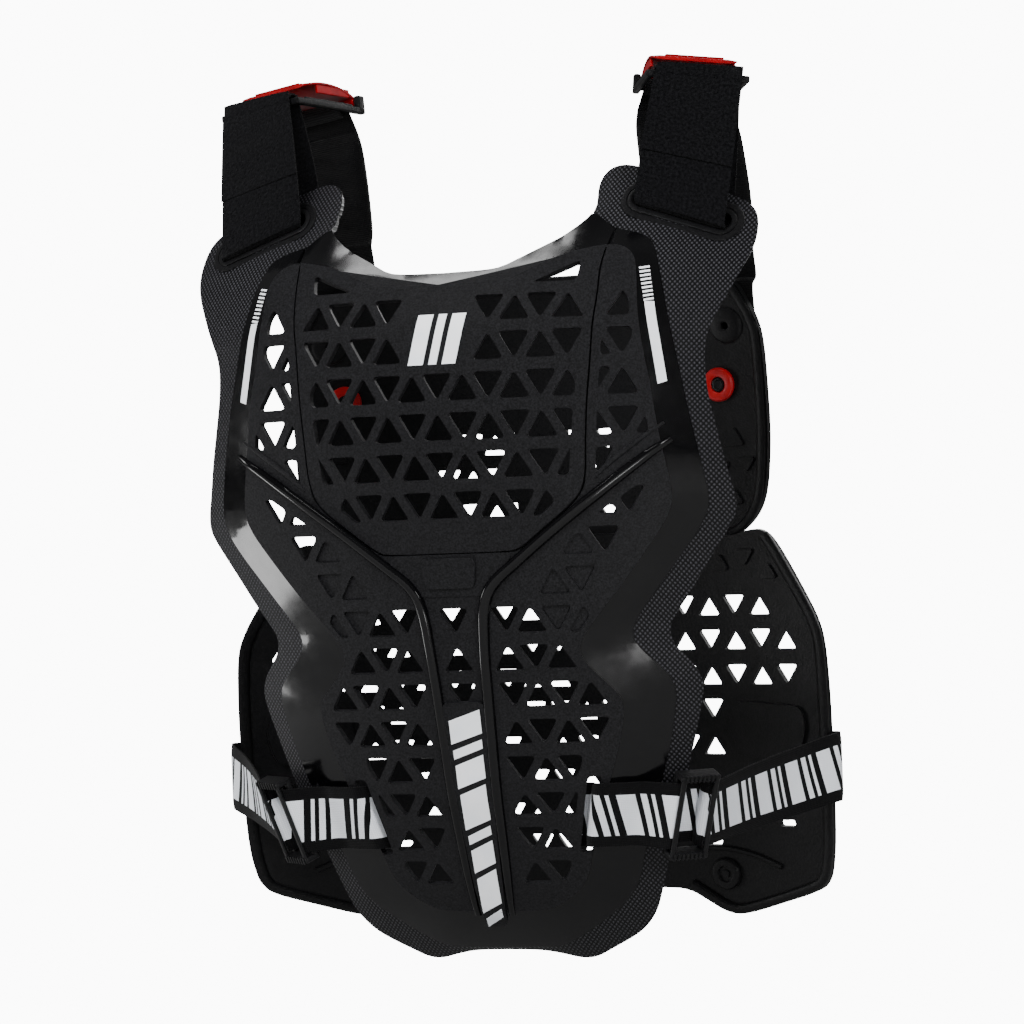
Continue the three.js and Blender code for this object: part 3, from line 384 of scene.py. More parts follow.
def chest_surface(points):
    """Depth of the chest plate's front: the panel, the glossy band that falls back and the flange."""
    points = np.asarray(points, float)
    to_panel = distance_to(points, PANEL_LINE, True)
    to_gloss = distance_to(points, GLOSS_CLOSED, True)
    to_edge = distance_to(points, EDGE_LINE, True)
    in_panel = inside(points, PANEL_LINE)
    in_gloss = inside(points, GLOSS_CLOSED)
    band = plates("band_drop") * to_panel / np.maximum(to_panel + to_gloss, 1e-6)
    flange_share = to_gloss / np.maximum(to_gloss + to_edge, OUTLINES_MEET)
    flange = plates("band_drop") + (plates("flange_drop") - plates("band_drop")) * flange_share
    drop = np.where(in_panel, 0.0, np.where(in_gloss, band, flange))
    return chest_base(points) + drop


def upper_surface(points):
    """Depth of the upper back plate's inner face."""
    points = np.asarray(points, float)
    down = (UPPER_TOP - points[:, 1]) / UPPER_HEIGHT
    return np.interp(down, *UPPER_CURVE) * UPPER_BACK - points[:, 0] ** 2 / (2 * UPPER_BOW)


def lower_surface(points):
    """Depth of the lower back plate's inner face."""
    points = np.asarray(points, float)
    down = (LOWER_TOP - points[:, 1]) / LOWER_HEIGHT
    return np.interp(down, *LOWER_CURVE) * LOWER_BACK - points[:, 0] ** 2 / (2 * LOWER_BOW)


def select_none():
    """Leaves nothing selected, the fixed model's nodes included."""
    if bpy.context.object and bpy.context.object.mode != "OBJECT":
        bpy.ops.object.mode_set(mode="OBJECT")
    bpy.ops.object.select_all(action="DESELECT")


def take(piece):
    """Makes a piece the only selected and active one."""
    select_none()
    piece.select_set(True)
    bpy.context.view_layer.objects.active = piece


def apply_modifier(piece, kind, **settings):
    """Adds a modifier with its settings and applies it."""
    take(piece)
    modifier = piece.modifiers.new(kind.title(), kind)
    for key, value in settings.items():
        setattr(modifier, key, value)
    bpy.ops.object.modifier_apply(modifier=modifier.name)


def finish_piece(piece, finish, nodes, body=BODY, angle=35.0, weighted=True):
    """Shades a piece, gives it its finish, hangs it on the body it rides on and hides the model's nodes that it stands
    for.
    """
    take(piece)
    bpy.ops.object.shade_smooth_by_angle(angle=math.radians(angle))
    if weighted:
        apply_modifier(piece, "WEIGHTED_NORMAL", weight=60, keep_sharp=True)
    piece.data.materials.append(MATERIALS[finish])
    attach(piece, body)
    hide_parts(*nodes)


def new_piece(name, vertices, edges=(), faces=()):
    """A mesh piece from its points, listed in millimetres."""
    mesh = bpy.data.meshes.new(name)
    mesh.from_pydata([(x * MM, y * MM, z * MM) for x, y, z in vertices], edges, faces)
    mesh.update()
    piece = bpy.data.objects.new(name, mesh)
    bpy.context.scene.collection.objects.link(piece)
    return piece


def flat_sheet(name, outline, holes, step):
    """A flat sheet in X and Z with its holes, cut by a square grid so that it can take a curved form."""
    points = []
    edges = []
    for loop in [outline] + list(holes):
        first = len(points)
        points += [Vector(place) for place in loop]
        edges += [(first + i, first + (i + 1) % len(loop)) for i in range(len(loop))]
    points, _, faces = delaunay_2d_cdt(points, edges, [], 0, 1e-4)[:3]
    middles = np.array([np.mean([points[i] for i in face], axis=0) for face in faces])
    kept = inside(middles, outline)
    for hole in holes:
        kept &= ~inside(middles, hole)
    faces = [face for face, keep in zip(faces, kept) if keep]
    piece = new_piece(name, [(x, 0.0, z) for x, z in points], faces=faces)
    take(piece)
    bpy.ops.object.mode_set(mode="EDIT")
    points = np.array(outline)
    for axis, normal in ((0, (1, 0, 0)), (1, (0, 0, 1))):
        low, high = points[:, axis].min(), points[:, axis].max()
        for at in np.arange(math.ceil(low / step) * step, high, step):
            place = (at * MM, 0, 0) if axis == 0 else (0, 0, at * MM)
            bpy.ops.mesh.select_all(action="SELECT")
            bpy.ops.mesh.bisect(plane_co=place, plane_no=normal)
    bm = bmesh.from_edit_mesh(piece.data)
    bpy.ops.mesh.select_all(action="DESELECT")
    bpy.ops.mesh.select_mode(type="EDGE")
    for edge in bm.edges:
        if len(edge.link_faces) != 2:
            continue
        a, b = (vert.co / MM for vert in edge.verts)
        level = abs(a.z - b.z) < 0.01 and abs(a.z / step - round(a.z / step)) * step < 0.01
        upright = abs(a.x - b.x) < 0.01 and abs(a.x / step - round(a.x / step)) * step < 0.01
        edge.select = not (level or upright)
    bmesh.update_edit_mesh(piece.data)
    bpy.ops.mesh.dissolve_edges(use_verts=False, use_face_split=False)
    bpy.ops.mesh.select_mode(type="VERT")
    bpy.ops.object.mode_set(mode="OBJECT")
    return piece


def drape(piece, surface, offset=0.0):
    """Lays a flat sheet on a curved surface."""
    mesh = piece.data
    place = np.array([vert.co for vert in mesh.vertices]) / MM
    place[:, 1] += surface(place[:, [0, 2]]) + offset
    mesh.vertices.foreach_set("co", (place * MM).ravel())
    mesh.update()


def face_outwards(piece):
    """Turns the faces of a piece to one side, and those of a closed one outwards."""
    take(piece)
    bpy.ops.object.mode_set(mode="EDIT")
    bpy.ops.mesh.select_all(action="SELECT")
    bpy.ops.mesh.normals_make_consistent(inside=False)
    bpy.ops.object.mode_set(mode="OBJECT")


def face_front(piece):
    """Turns all faces of an open sheet to the front."""
    face_outwards(piece)
    total = sum((face.normal * face.area for face in piece.data.polygons), Vector())
    if total.y > 0:
        bpy.ops.object.mode_set(mode="EDIT")
        bpy.ops.mesh.select_all(action="SELECT")
        bpy.ops.mesh.flip_normals()
        bpy.ops.object.mode_set(mode="OBJECT")


def plate(name, outline, holes, surface, wall, step, rim, offset=0.0, segments=2):
    """A curved plate with holes: a flat sheet that is draped, given its wall and rounded at its rims."""
    piece = flat_sheet(name, outline, holes, step)
    drape(piece, surface, offset)
    face_front(piece)
    apply_modifier(piece, "SOLIDIFY", thickness=wall * MM, offset=-1.0, use_even_offset=False)
    if rim > 0:
        apply_modifier(
            piece, "BEVEL", width=rim * MM, segments=segments, limit_method="ANGLE",
            angle_limit=math.radians(50), use_clamp_overlap=True, miter_outer="MITER_SHARP",
        )
    return piece


def row_top(row):
    """Height of a lattice row: rows keep their pitch along the leaning surface."""
    z = LATTICE_TOP
    for _ in range(1, row):
        near, far = chest_base([(0, z), (0, z - plates("lattice_row"))])
        z -= plates("lattice_row") / math.hypot(1, (far - near) / plates("lattice_row"))
    return z


def cell(row, column):
    """Corners of one triangular hole."""
    top = row_top(row)
    steep = (top - row_top(row + 1)) / plates("lattice_row")
    bottom = top - plates("hole_height") * steep
    x = column * plates("lattice_pitch") / 2
    base, apex = (top, bottom) if (row + abs(column)) % 2 else (bottom, top)
    return [(x - plates("hole_width") / 2, base), (x + plates("hole_width") / 2, base), (x, apex)]


def area(outline):
    """Signed area of an outline."""
    return 0.5 * sum(a[0] * b[1] - b[0] * a[1] for a, b in zip(outline, outline[1:] + outline[:1]))


def counterclockwise(outline):
    """The same outline, listed counterclockwise."""
    return list(outline) if area(outline) > 0 else list(outline)[::-1]


def clip(outline, line):
    """Cuts a convex outline by a half plane: what lies to the left of the line stays."""
    (ax, az), (bx, bz) = line

    def side(point):
        return (bx - ax) * (point[1] - az) - (bz - az) * (point[0] - ax)

    kept = []
    for point, after in zip(outline, outline[1:] + outline[:1]):
        here, there = side(point), side(after)
        if here >= 0:
            kept.append(point)
        if here * there < 0:
            share = here / (here - there)
            kept.append(tuple(np.array(point) * (1 - share) + np.array(after) * share))
    return kept


def round_corners(outline, radius):
    """A convex outline with a small arc at each corner."""
    result = []
    count = len(outline)
    for i in range(count):
        before, corner, after = (np.array(outline[(i + k) % count]) for k in (-1, 0, 1))
        to_before, to_after = before - corner, after - corner
        reach = min(radius * 1.5, 0.42 * np.linalg.norm(to_before), 0.42 * np.linalg.norm(to_after))
        a = corner + to_before / max(np.linalg.norm(to_before), 1e-6) * reach
        b = corner + to_after / max(np.linalg.norm(to_after), 1e-6) * reach
        for share in (0.0, 0.33, 0.67, 1.0):
            result.append(tuple((1 - share) ** 2 * a + 2 * share * (1 - share) * corner + share ** 2 * b))
    return result


def shifted(a, b, inset):
    """A straight line moved to its left by an inset."""
    a, b = np.array(a, float), np.array(b, float)
    step = (b - a) / np.linalg.norm(b - a)
    move = np.array([-step[1], step[0]]) * inset
    return [tuple(a + move), tuple(b + move)]


def field(rows, borders, both_sides):
    """Rounded holes of a field of the lattice, each trimmed to the field's borders."""
    holes = []
    for row, first, last in rows:
        for column in range(first, last + 1):
            outline = counterclockwise(cell(row, column))
            for border in borders:
                outline = clip(outline, border) if len(outline) > 2 else outline
            if len(outline) < 3 or area(outline) < SMALLEST_HOLE:
                continue
            rounded = round_corners(outline, plates("hole_corner"))
            holes.append(rounded)
            if both_sides:
                holes.append([(-x, z) for x, z in reversed(rounded)])
    return holes


def spline(points, steps):
    """A smooth line through its points, as a Catmull-Rom curve."""
    points = [np.array(point, float) for point in points]
    ends = [2 * points[0] - points[1]] + points + [2 * points[-1] - points[-2]]
    line = []
    for i in range(1, len(ends) - 2):
        a, b, c, d = ends[i - 1:i + 3]
        for j in range(steps):
            t = j / steps
            line.append(0.5 * (2 * b + (c - a) * t + (2 * a - 5 * b + 4 * c - d) * t * t
                               + (3 * b - a - 3 * c + d) * t ** 3))
    line.append(points[-1])
    return line


def band(name, sections, steps=4, columns=8, closed=False, relief=None, crown=0.0):
    """A strap through its sections, with rounded selvedges and a UV map in metres along and across it.

    A section is a centre, a direction across, a width and a wall. Relief moves a point out of the
    strap's face by a length that depends on its place across (-1 to 1) and along, in millimetres.
    """
    rows = [np.concatenate([centre, across / np.linalg.norm(across), [width, wall]])
            for centre, across, width, wall in sections]
    if closed:
        rows = rows[-2:] + rows + rows[:3]
    line = spline(rows, steps)
    if closed:
        line = line[2 * steps:-2 * steps - 1]
    line = np.array(line)
    count = len(line)
    after = np.roll(line, -1, axis=0) if closed else np.vstack([line[1:], line[-1:]])
    before = np.roll(line, 1, axis=0) if closed else np.vstack([line[:1], line[:-1]])
    along = after[:, :3] - before[:, :3]
    along /= np.linalg.norm(along, axis=1)[:, None]
    across = line[:, 3:6] / np.linalg.norm(line[:, 3:6], axis=1)[:, None]
    normal = np.cross(across, along)
    normal /= np.linalg.norm(normal, axis=1)[:, None]
    run = np.concatenate([[0], np.cumsum(np.linalg.norm(np.diff(line[:, :3], axis=0), axis=1))])
    places = [-1.0 + 2.0 * i / columns for i in range(columns + 1)]
    profile = [(u, 1.0) for u in places] + [(u, -1.0) for u in reversed(places)]
    loop = len(profile)
    vertices = []
    for i in range(count):
        width, wall = line[i, 6:8]
        for u, v in profile:
            rim = 0.45 if abs(u) == 1 else 1.0
            lift = relief(u, run[i]) if relief and v > 0 else 0.0
            lift = lift * (1.0 - abs(u) ** 4) + crown * (1 - u * u)
            point = line[i, :3] + across[i] * u * width / 2 + normal[i] * (v * rim * wall / 2 + lift)
            vertices.append(tuple(point))
    faces = []
    for i in range(count if closed else count - 1):
        here, there = i * loop, ((i + 1) % count) * loop
        for j in range(loop):
            k = (j + 1) % loop
            faces.append((here + j, here + k, there + k, there + j))
    if not closed:
        faces.append(tuple(range(loop - 1, -1, -1)))
        faces.append(tuple(range((count - 1) * loop, count * loop)))
    piece = new_piece(name, vertices, faces=faces)
    layer = piece.data.uv_layers.new(name="cloth")
    for polygon in piece.data.polygons:
        for index in polygon.loop_indices:
            vertex = piece.data.loops[index].vertex_index
            row, place = divmod(vertex, loop)
            length = run[row]
            if closed and row == 0 and polygon.index >= loop * (count - 1):
                length = run[-1] + np.linalg.norm(line[0, :3] - line[-1, :3])
            layer.data[index].uv = (profile[place][0] * line[row, 6] / 2 * MM, length * MM)
    face_outwards(piece)
    return piece


def loft(name, loops, caps=False):
    """A surface through closed loops of equal length."""
    size = len(loops[0])
    vertices = [tuple(point) for loop in loops for point in loop]
    faces = []
    for i in range(len(loops) - 1):
        for j in range(size):
            k = (j + 1) % size
            faces.append((i * size + j, i * size + k, (i + 1) * size + k, (i + 1) * size + j))
    if caps:
        faces.append(tuple(range(size - 1, -1, -1)))
        faces.append(tuple(range((len(loops) - 1) * size, len(loops) * size)))
    piece = new_piece(name, vertices, faces=faces)
    face_outwards(piece)
    return piece


def rib(name, path, surface, width, height):
    """A raised rounded rib that runs along a path on a surface. Widths may change along it."""
    line = np.array(spline(path, 4))
    step = np.gradient(line[:, :2], axis=0)
    step /= np.linalg.norm(step, axis=1)[:, None]
    side = np.stack([-step[:, 1], step[:, 0]], axis=1)
    shape = [(-0.5, -0.35), (-0.47, 0.35), (-0.36, 0.8), (-0.15, 1.0),
             (0.15, 1.0), (0.36, 0.8), (0.47, 0.35), (0.5, -0.35)]
    loops = []
    for i, row in enumerate(line):
        scale = row[2] if len(row) > 2 else 1.0
        ring = []
        for u, v in shape:
            x, z = row[:2] + side[i] * u * width * scale
            ring.append((x, 0.0, z, v * height * (scale if v > 0 else 1.0)))
        loops.append(ring)
    flat = [(x, z) for ring in loops for x, _, z, _ in ring]
    depth = surface(flat)
    size = len(shape)
    placed = []
    for i, ring in enumerate(loops):
        placed.append([(x, depth[i * size + j] - v, z) for j, (x, _, z, v) in enumerate(ring)])
    return loft(name, placed, caps=True)


def block(name, size, centre, rim, segments=3):
    """A box with rounded edges."""
    select_none()
    bpy.ops.mesh.primitive_cube_add(size=1, location=(0, 0, 0))
    piece = bpy.context.object
    piece.name = name
    bpy.ops.object.mode_set(mode="EDIT")
    bpy.ops.transform.resize(value=tuple(length * MM for length in size))
    bpy.ops.mesh.bevel(offset=rim * MM, segments=segments, affect="EDGES", clamp_overlap=True)
    bpy.ops.transform.translate(value=tuple(place * MM for place in centre))
    bpy.ops.object.mode_set(mode="OBJECT")
    return piece


def rod(name, radius, length, centre):
    """A round bar along X with rounded ends."""
    select_none()
    bpy.ops.mesh.primitive_cylinder_add(vertices=24, radius=radius * MM, depth=length * MM)
    piece = bpy.context.object
    piece.name = name
    bpy.ops.object.mode_set(mode="EDIT")
    bpy.ops.mesh.select_all(action="SELECT")
    bpy.ops.mesh.edges_select_sharp(sharpness=math.radians(60))
    bpy.ops.mesh.bevel(offset=0.4 * MM, segments=2, affect="EDGES")
    bpy.ops.object.mode_set(mode="OBJECT")
    piece.data.transform(Matrix.Translation(Vector(centre) * MM) @ Matrix.Rotation(math.pi / 2, 4, "Y"))
    return piece


def joined(name, parts):
    """Several meshes as one piece."""
    select_none()
    for part in parts:
        part.select_set(True)
    bpy.context.view_layer.objects.active = parts[0]
    bpy.ops.object.join()
    parts[0].name = name
    parts[0].data.name = name
    return parts[0]


def turned(name, profile, sides=48):
    """A round piece spun about Z from its profile of radius and height."""
    select_none()
    piece = new_piece(name, [(radius, 0, along) for radius, along in profile],
                      [(i, i + 1) for i in range(len(profile) - 1)])
    take(piece)
    bpy.ops.object.mode_set(mode="EDIT")
    bpy.ops.mesh.select_all(action="SELECT")
    bpy.ops.mesh.spin(steps=sides, angle=2 * math.pi, center=(0, 0, 0), axis=(0, 0, 1), use_auto_merge=True)
    bpy.ops.mesh.select_all(action="SELECT")
    bpy.ops.mesh.remove_doubles(threshold=0.01 * MM)
    bpy.ops.mesh.normals_make_consistent(inside=False)
    bpy.ops.object.mode_set(mode="OBJECT")
    return piece


def stand_on(piece, x, z, surface, gap):
    """Stands a turned piece on the inner face of a back plate, square to it."""
    around = surface([(x, z), (x + 1, z), (x - 1, z), (x, z + 1), (x, z - 1)])
    normal = Vector(((around[1] - around[2]) / 2, -1, (around[3] - around[4]) / 2)).normalized()
    place = Vector((x, around[0], z)) + normal * gap
    turn = Vector((0, 0, 1)).rotation_difference(normal).to_matrix().to_4x4()
    piece.data.transform(Matrix.Translation(place * MM) @ turn)


def add_node(tree, kind, links=None, **settings):
    """Adds a node, with settings for its options and inputs and links from other sockets."""
    made = tree.nodes.new(kind)
    for key, value in settings.items():
        if key in made.inputs:
            made.inputs[key].default_value = value
        else:
            setattr(made, key, value)
    for key, source in (links or {}).items():
        tree.links.new(source, made.inputs[key])
    return made


def start_material(name, colour, roughness, **sockets):
    """A new material with its shader's uniform values set on the shader's own sockets."""
    material = bpy.data.materials.new(name)
    material.use_nodes = True
    tree = material.node_tree
    shader = tree.nodes["Principled BSDF"]
    shader.inputs["Base Color"].default_value = tint(colour)
    shader.inputs["Roughness"].default_value = roughness
    for key, value in sockets.items():
        shader.inputs[key.replace("_", " ")].default_value = value
    material.diffuse_color = tint(colour)
    return material, tree, shader


def wave_lines(tree, vector, period_mm, turn, axis="Y"):
    """Parallel sine lines at a real period, turned about an axis."""
    mapping = add_node(tree, "ShaderNodeMapping", {"Vector": vector})
    mapping.inputs["Rotation"].default_value = [math.radians(turn) if letter == axis else 0 for letter in "XYZ"]
    return add_node(
        tree, "ShaderNodeTexWave", {"Vector": mapping.outputs["Vector"]}, wave_type="BANDS",
        bands_direction="X", wave_profile="SIN", Scale=math.pi / (10 * period_mm * MM),
    ).outputs["Fac"]


def mottled(tree, vector, colour_a, colour_b, size_mm, low=0.35, high=0.65, detail=4.0):
    """Two colours mixed by soft noise of a real size."""
    noise = add_node(tree, "ShaderNodeTexNoise", {"Vector": vector}, Scale=1000 / size_mm, Detail=detail)
    ramp = add_node(tree, "ShaderNodeValToRGB", {"Fac": noise.outputs["Fac"]})
    ramp.color_ramp.elements[0].position = low
    ramp.color_ramp.elements[0].color = tint(colour_a)
    ramp.color_ramp.elements[1].position = high
    ramp.color_ramp.elements[1].color = tint(colour_b)
    return ramp.outputs["Color"]


def bump(tree, shader, height, strength, depth_mm, under=None):
    """A bump of a real depth, on top of another one if it is given."""
    links = {"Height": height}
    if under is not None:
        links["Normal"] = under
    made = add_node(tree, "ShaderNodeBump", links, Strength=strength, Distance=depth_mm * MM)
    tree.links.new(made.outputs["Normal"], shader.inputs["Normal"])
    return made.outputs["Normal"]


def roughness_range(tree, shader, source, low, high):
    """Roughness that follows a pattern between two values."""
    spread = add_node(tree, "ShaderNodeMapRange", {"Value": source})
    spread.inputs["To Min"].default_value = low
    spread.inputs["To Max"].default_value = high
    tree.links.new(spread.outputs["Result"], shader.inputs["Roughness"])


def gloss_plastic():
    """Polypropylene moulded in a polished tool: black and mirror-like, with faint flow and dust marks."""
    material, tree, shader = start_material("gloss_moulded_polypropylene", "gloss", 0.1, IOR=1.49,
                                            Specular_IOR_Level=0.5)
    place = add_node(tree, "ShaderNodeTexCoord").outputs["Object"]
    tree.links.new(mottled(tree, place, "gloss", "gloss_light", 30), shader.inputs["Base Color"])
    fine = add_node(tree, "ShaderNodeTexNoise", {"Vector": place}, Scale=160, Detail=6).outputs["Fac"]
    roughness_range(tree, shader, fine, 0.07, 0.2)
    slow = add_node(tree, "ShaderNodeTexNoise", {"Vector": place}, Scale=55, Detail=1).outputs["Fac"]
    bump(tree, shader, slow, 0.12, 0.5)
    return material


# Size of the grain of a spark-eroded surface, in millimetres.
GRAIN = 1.4


def matte_plastic(name, light, dark, low, high):
    """Polypropylene from a spark-eroded tool: an even fine grain that breaks up the light."""
    material, tree, shader = start_material(name, light, (low + high) / 2, IOR=1.49, Specular_IOR_Level=0.3)
    place = add_node(tree, "ShaderNodeTexCoord").outputs["Object"]
    tree.links.new(mottled(tree, place, dark, light, 0.9, 0.36, 0.66, 2.0), shader.inputs["Base Color"])
    grain = add_node(tree, "ShaderNodeTexNoise", {"Vector": place}, Scale=1000 / GRAIN, Detail=3).outputs["Fac"]
    cloud = add_node(tree, "ShaderNodeTexNoise", {"Vector": place}, Scale=90, Detail=5).outputs["Fac"]
    roughness_range(tree, shader, cloud, low, high)
    bump(tree, shader, grain, 0.7, 0.3)
    return material


def knurled_plastic():
    """The flange's moulded cross-hatch: diagonal grooves 1.9 mm apart with small shiny diamonds between, the grooves
    painted dark as shade and the diamonds painted light as highlight.
    """
    material, tree, shader = start_material("cross_hatched_flange", "groove_painted_shade", 0.42, IOR=1.49,
                                            Specular_IOR_Level=0.3)
    place = add_node(tree, "ShaderNodeTexCoord").outputs["Object"]
    one = wave_lines(tree, place, 1.9, 40)
    two = wave_lines(tree, place, 1.9, -40)
    both = add_node(tree, "ShaderNodeMath", {0: one, 1: two}, operation="MULTIPLY").outputs["Value"]
    # The ramp paints shade into the grooves and a highlight onto the diamonds, following the pattern that makes the
    # bump.
    ramp = add_node(tree, "ShaderNodeValToRGB", {"Fac": both})
    ramp.color_ramp.elements[0].color = tint("groove_painted_shade")
    ramp.color_ramp.elements[1].color = tint("diamond_painted_highlight")
    ramp.color_ramp.elements[0].position = 0.1
    ramp.color_ramp.elements[1].position = 0.75
    tree.links.new(ramp.outputs["Color"], shader.inputs["Base Color"])
    roughness_range(tree, shader, both, 0.55, 0.33)
    bump(tree, shader, both, 0.9, 0.35)
    return material


def coloured_plastic(name, colour, shade, roughness=0.3):
    """Acetal moulded in colour, with a satin skin and slightly darker where handling has dulled it."""
    material, tree, shader = start_material(name, colour, roughness, IOR=1.48)
    place = add_node(tree, "ShaderNodeTexCoord").outputs["Object"]
    tree.links.new(mottled(tree, place, shade, colour, 9, 0.25, 0.6), shader.inputs["Base Color"])
    grain = add_node(tree, "ShaderNodeTexNoise", {"Vector": place}, Scale=900, Detail=4).outputs["Fac"]
    roughness_range(tree, shader, grain, roughness - 0.06, roughness + 0.12)
    bump(tree, shader, grain, 0.12, 0.1)
    return material


def loop_cloth():
    """Brushed nylon loop tape: a matt pile of tiny loops over a knitted ground."""
    material, tree, shader = start_material("brushed_nylon_loop_tape", "pile_dark", 0.95, Sheen_Weight=0.03,
                                            Sheen_Roughness=0.5, Specular_IOR_Level=0.25)
    place = add_node(tree, "ShaderNodeUVMap", uv_map="cloth").outputs["UV"]
    tree.links.new(mottled(tree, place, "pile_dark", "pile", 1.6, 0.38, 0.72, 6), shader.inputs["Base Color"])
    pile = add_node(tree, "ShaderNodeTexVoronoi", {"Vector": place}, Scale=1000 / 0.9).outputs["Distance"]
    knit = add_node(tree, "ShaderNodeTexNoise", {"Vector": place}, Scale=420, Detail=7).outputs["Fac"]
    first = bump(tree, shader, pile, 0.7, 0.5)
    bump(tree, shader, knit, 0.6, 0.8, first)
    return material


def ribbed_cloth(name, colour, dark, period_mm=1.3, sheen=0.3):
    """Woven polyester webbing: cross ribs of thick weft under a fine warp, with painted shade in the valleys of the
    weave.
    """
    material, tree, shader = start_material(name, colour, 0.82, Sheen_Weight=sheen, Sheen_Roughness=0.45,
                                            Specular_IOR_Level=0.3)
    place = add_node(tree, "ShaderNodeUVMap", uv_map="cloth").outputs["UV"]
    weft = wave_lines(tree, place, period_mm, 90, "Z")
    warp = wave_lines(tree, place, 0.8, 0, "Z")
    weave = add_node(tree, "ShaderNodeMath", {0: weft, 1: warp}, operation="MULTIPLY").outputs["Value"]
    # The weave colours its valleys darker as painted shade, with the same pattern that makes the bump.
    ramp = add_node(tree, "ShaderNodeValToRGB", {"Fac": weave})
    ramp.color_ramp.elements[0].color = tint(dark)
    ramp.color_ramp.elements[1].color = tint(colour)
    tree.links.new(ramp.outputs["Color"], shader.inputs["Base Color"])
    bump(tree, shader, weave, 0.75, 0.4)
    return material


def printed_elastic():
    """Knitted elastic with a woven-in generic pattern: white slanted bars between narrow black margins, with painted
    shade in the valleys of the weave.
    """
    material, tree, shader = start_material("printed_knitted_elastic", "elastic", 0.85, Sheen_Weight=0.03,
                                            Sheen_Roughness=0.5, Specular_IOR_Level=0.3)
    place = add_node(tree, "ShaderNodeUVMap", uv_map="cloth").outputs["UV"]
    split = add_node(tree, "ShaderNodeSeparateXYZ", {"Vector": place})
    across, along = split.outputs["X"], split.outputs["Y"]
    math_node = "ShaderNodeMath"
    slanted = add_node(tree, math_node, {0: across}, operation="MULTIPLY")
    slanted.inputs[1].default_value = 0.34
    start = add_node(tree, math_node, {0: along, 1: slanted.outputs["Value"]}, operation="ADD")
    inside_width = add_node(tree, math_node, {0: across}, operation="ABSOLUTE")
    margin = add_node(tree, math_node, {0: inside_width.outputs["Value"]}, operation="LESS_THAN")
    margin.inputs[1].default_value = 12.6 * MM
    bars = None
    for pitch, low, high in ((26.0, 0.08, 0.48), (26.0, 0.6, 0.74), (26.0, 0.84, 0.92)):
        turn = add_node(tree, math_node, {0: start.outputs["Value"]}, operation="DIVIDE")
        turn.inputs[1].default_value = pitch * MM
        share = add_node(tree, math_node, {0: turn.outputs["Value"]}, operation="FRACT")
        above = add_node(tree, math_node, {0: share.outputs["Value"]}, operation="GREATER_THAN")
        above.inputs[1].default_value = low
        below = add_node(tree, math_node, {0: share.outputs["Value"]}, operation="LESS_THAN")
        below.inputs[1].default_value = high
        bar = add_node(tree, math_node, {0: above.outputs["Value"], 1: below.outputs["Value"]},
                       operation="MULTIPLY").outputs["Value"]
        bars = bar if bars is None else add_node(tree, math_node, {0: bars, 1: bar},
                                                 operation="MAXIMUM").outputs["Value"]
    printed = add_node(tree, math_node, {0: bars, 1: margin.outputs["Value"]}, operation="MULTIPLY")
    weft = wave_lines(tree, place, 1.1, 90, "Z")
    warp = wave_lines(tree, place, 1.1, 0, "Z")
    weave = add_node(tree, math_node, {0: weft, 1: warp}, operation="MULTIPLY").outputs["Value"]
    # The weave colours the valleys of the black elastic and of the white bars darker, as painted shade.
    dark = add_node(tree, "ShaderNodeMix", {"Factor": weave}, data_type="RGBA")
    dark.inputs["A"].default_value = tint("elastic_valley_shade")
    dark.inputs["B"].default_value = tint("elastic")
    light = add_node(tree, "ShaderNodeMix", {"Factor": weave}, data_type="RGBA")
    light.inputs["A"].default_value = tint("bars_dark")
    light.inputs["B"].default_value = tint("bars")
    both = add_node(tree, "ShaderNodeMix", {"Factor": printed.outputs["Value"]}, data_type="RGBA")
    for key, source in ((6, dark.outputs[2]), (7, light.outputs[2])):
        tree.links.new(source, both.inputs[key])
    tree.links.new(both.outputs[2], shader.inputs["Base Color"])
    bump(tree, shader, weave, 0.6, 0.3)
    return material


MATERIALS = {}

# The wearer's two sides: the sign of X and the word in the names of pieces.
SIDES = ((1, "left"), (-1, "right"))


def make_materials():
    """All the finishes of the part, by a short name."""
    MATERIALS["gloss"] = gloss_plastic()
    MATERIALS["matte"] = matte_plastic("spark_eroded_polypropylene", "panel", "panel_dark", 0.5, 0.66)
    # The flange's cross-hatch has painted shade in its grooves and a painted highlight on its diamonds.
    MATERIALS["flange"] = knurled_plastic()
    MATERIALS["back"] = matte_plastic("satin_back_polypropylene", "back", "back_dark", 0.38, 0.55)
    MATERIALS["fitting"] = matte_plastic("satin_moulded_nylon", "fitting", "fitting_dark", 0.3, 0.45)
    MATERIALS["red"] = coloured_plastic("red_moulded_acetal", "lever", "lever_dark")
    MATERIALS["dull_red"] = coloured_plastic("red_stud_acetal", "collar", "collar_dark", 0.42)
    MATERIALS["print"] = coloured_plastic("white_pad_print", "ink", "ink_dark", 0.4)
    MATERIALS["loop"] = loop_cloth()
    # The webbing, the padded mesh and the elastic have painted shade in the valleys of their weave.
    MATERIALS["webbing"] = ribbed_cloth("ribbed_polyester_webbing", "webbing", "webbing_valley_shade", 1.1, 0.05)
    MATERIALS["quilt"] = ribbed_cloth("padded_spacer_mesh", "quilt", "quilt_valley_shade", 1.1, 0.08)
    MATERIALS["elastic"] = printed_elastic()


def finish_strap(piece, finish, node, angle=60):
    """Finishes a strap, which keeps its own normals across its soft folds."""
    finish_piece(piece, finish, [node], angle=angle, weighted=False)


def strip_outline(outer, inner):
    """A closed outline between an open outer line and an open inner line, both from left to right."""
    return list(outer) + list(reversed(inner))


def both_sides(half):
    """A half line from the wearer's left to the middle, carried on to their right."""
    return list(half) + [(-x, z) for x, z in reversed(half) if x > 0.01]


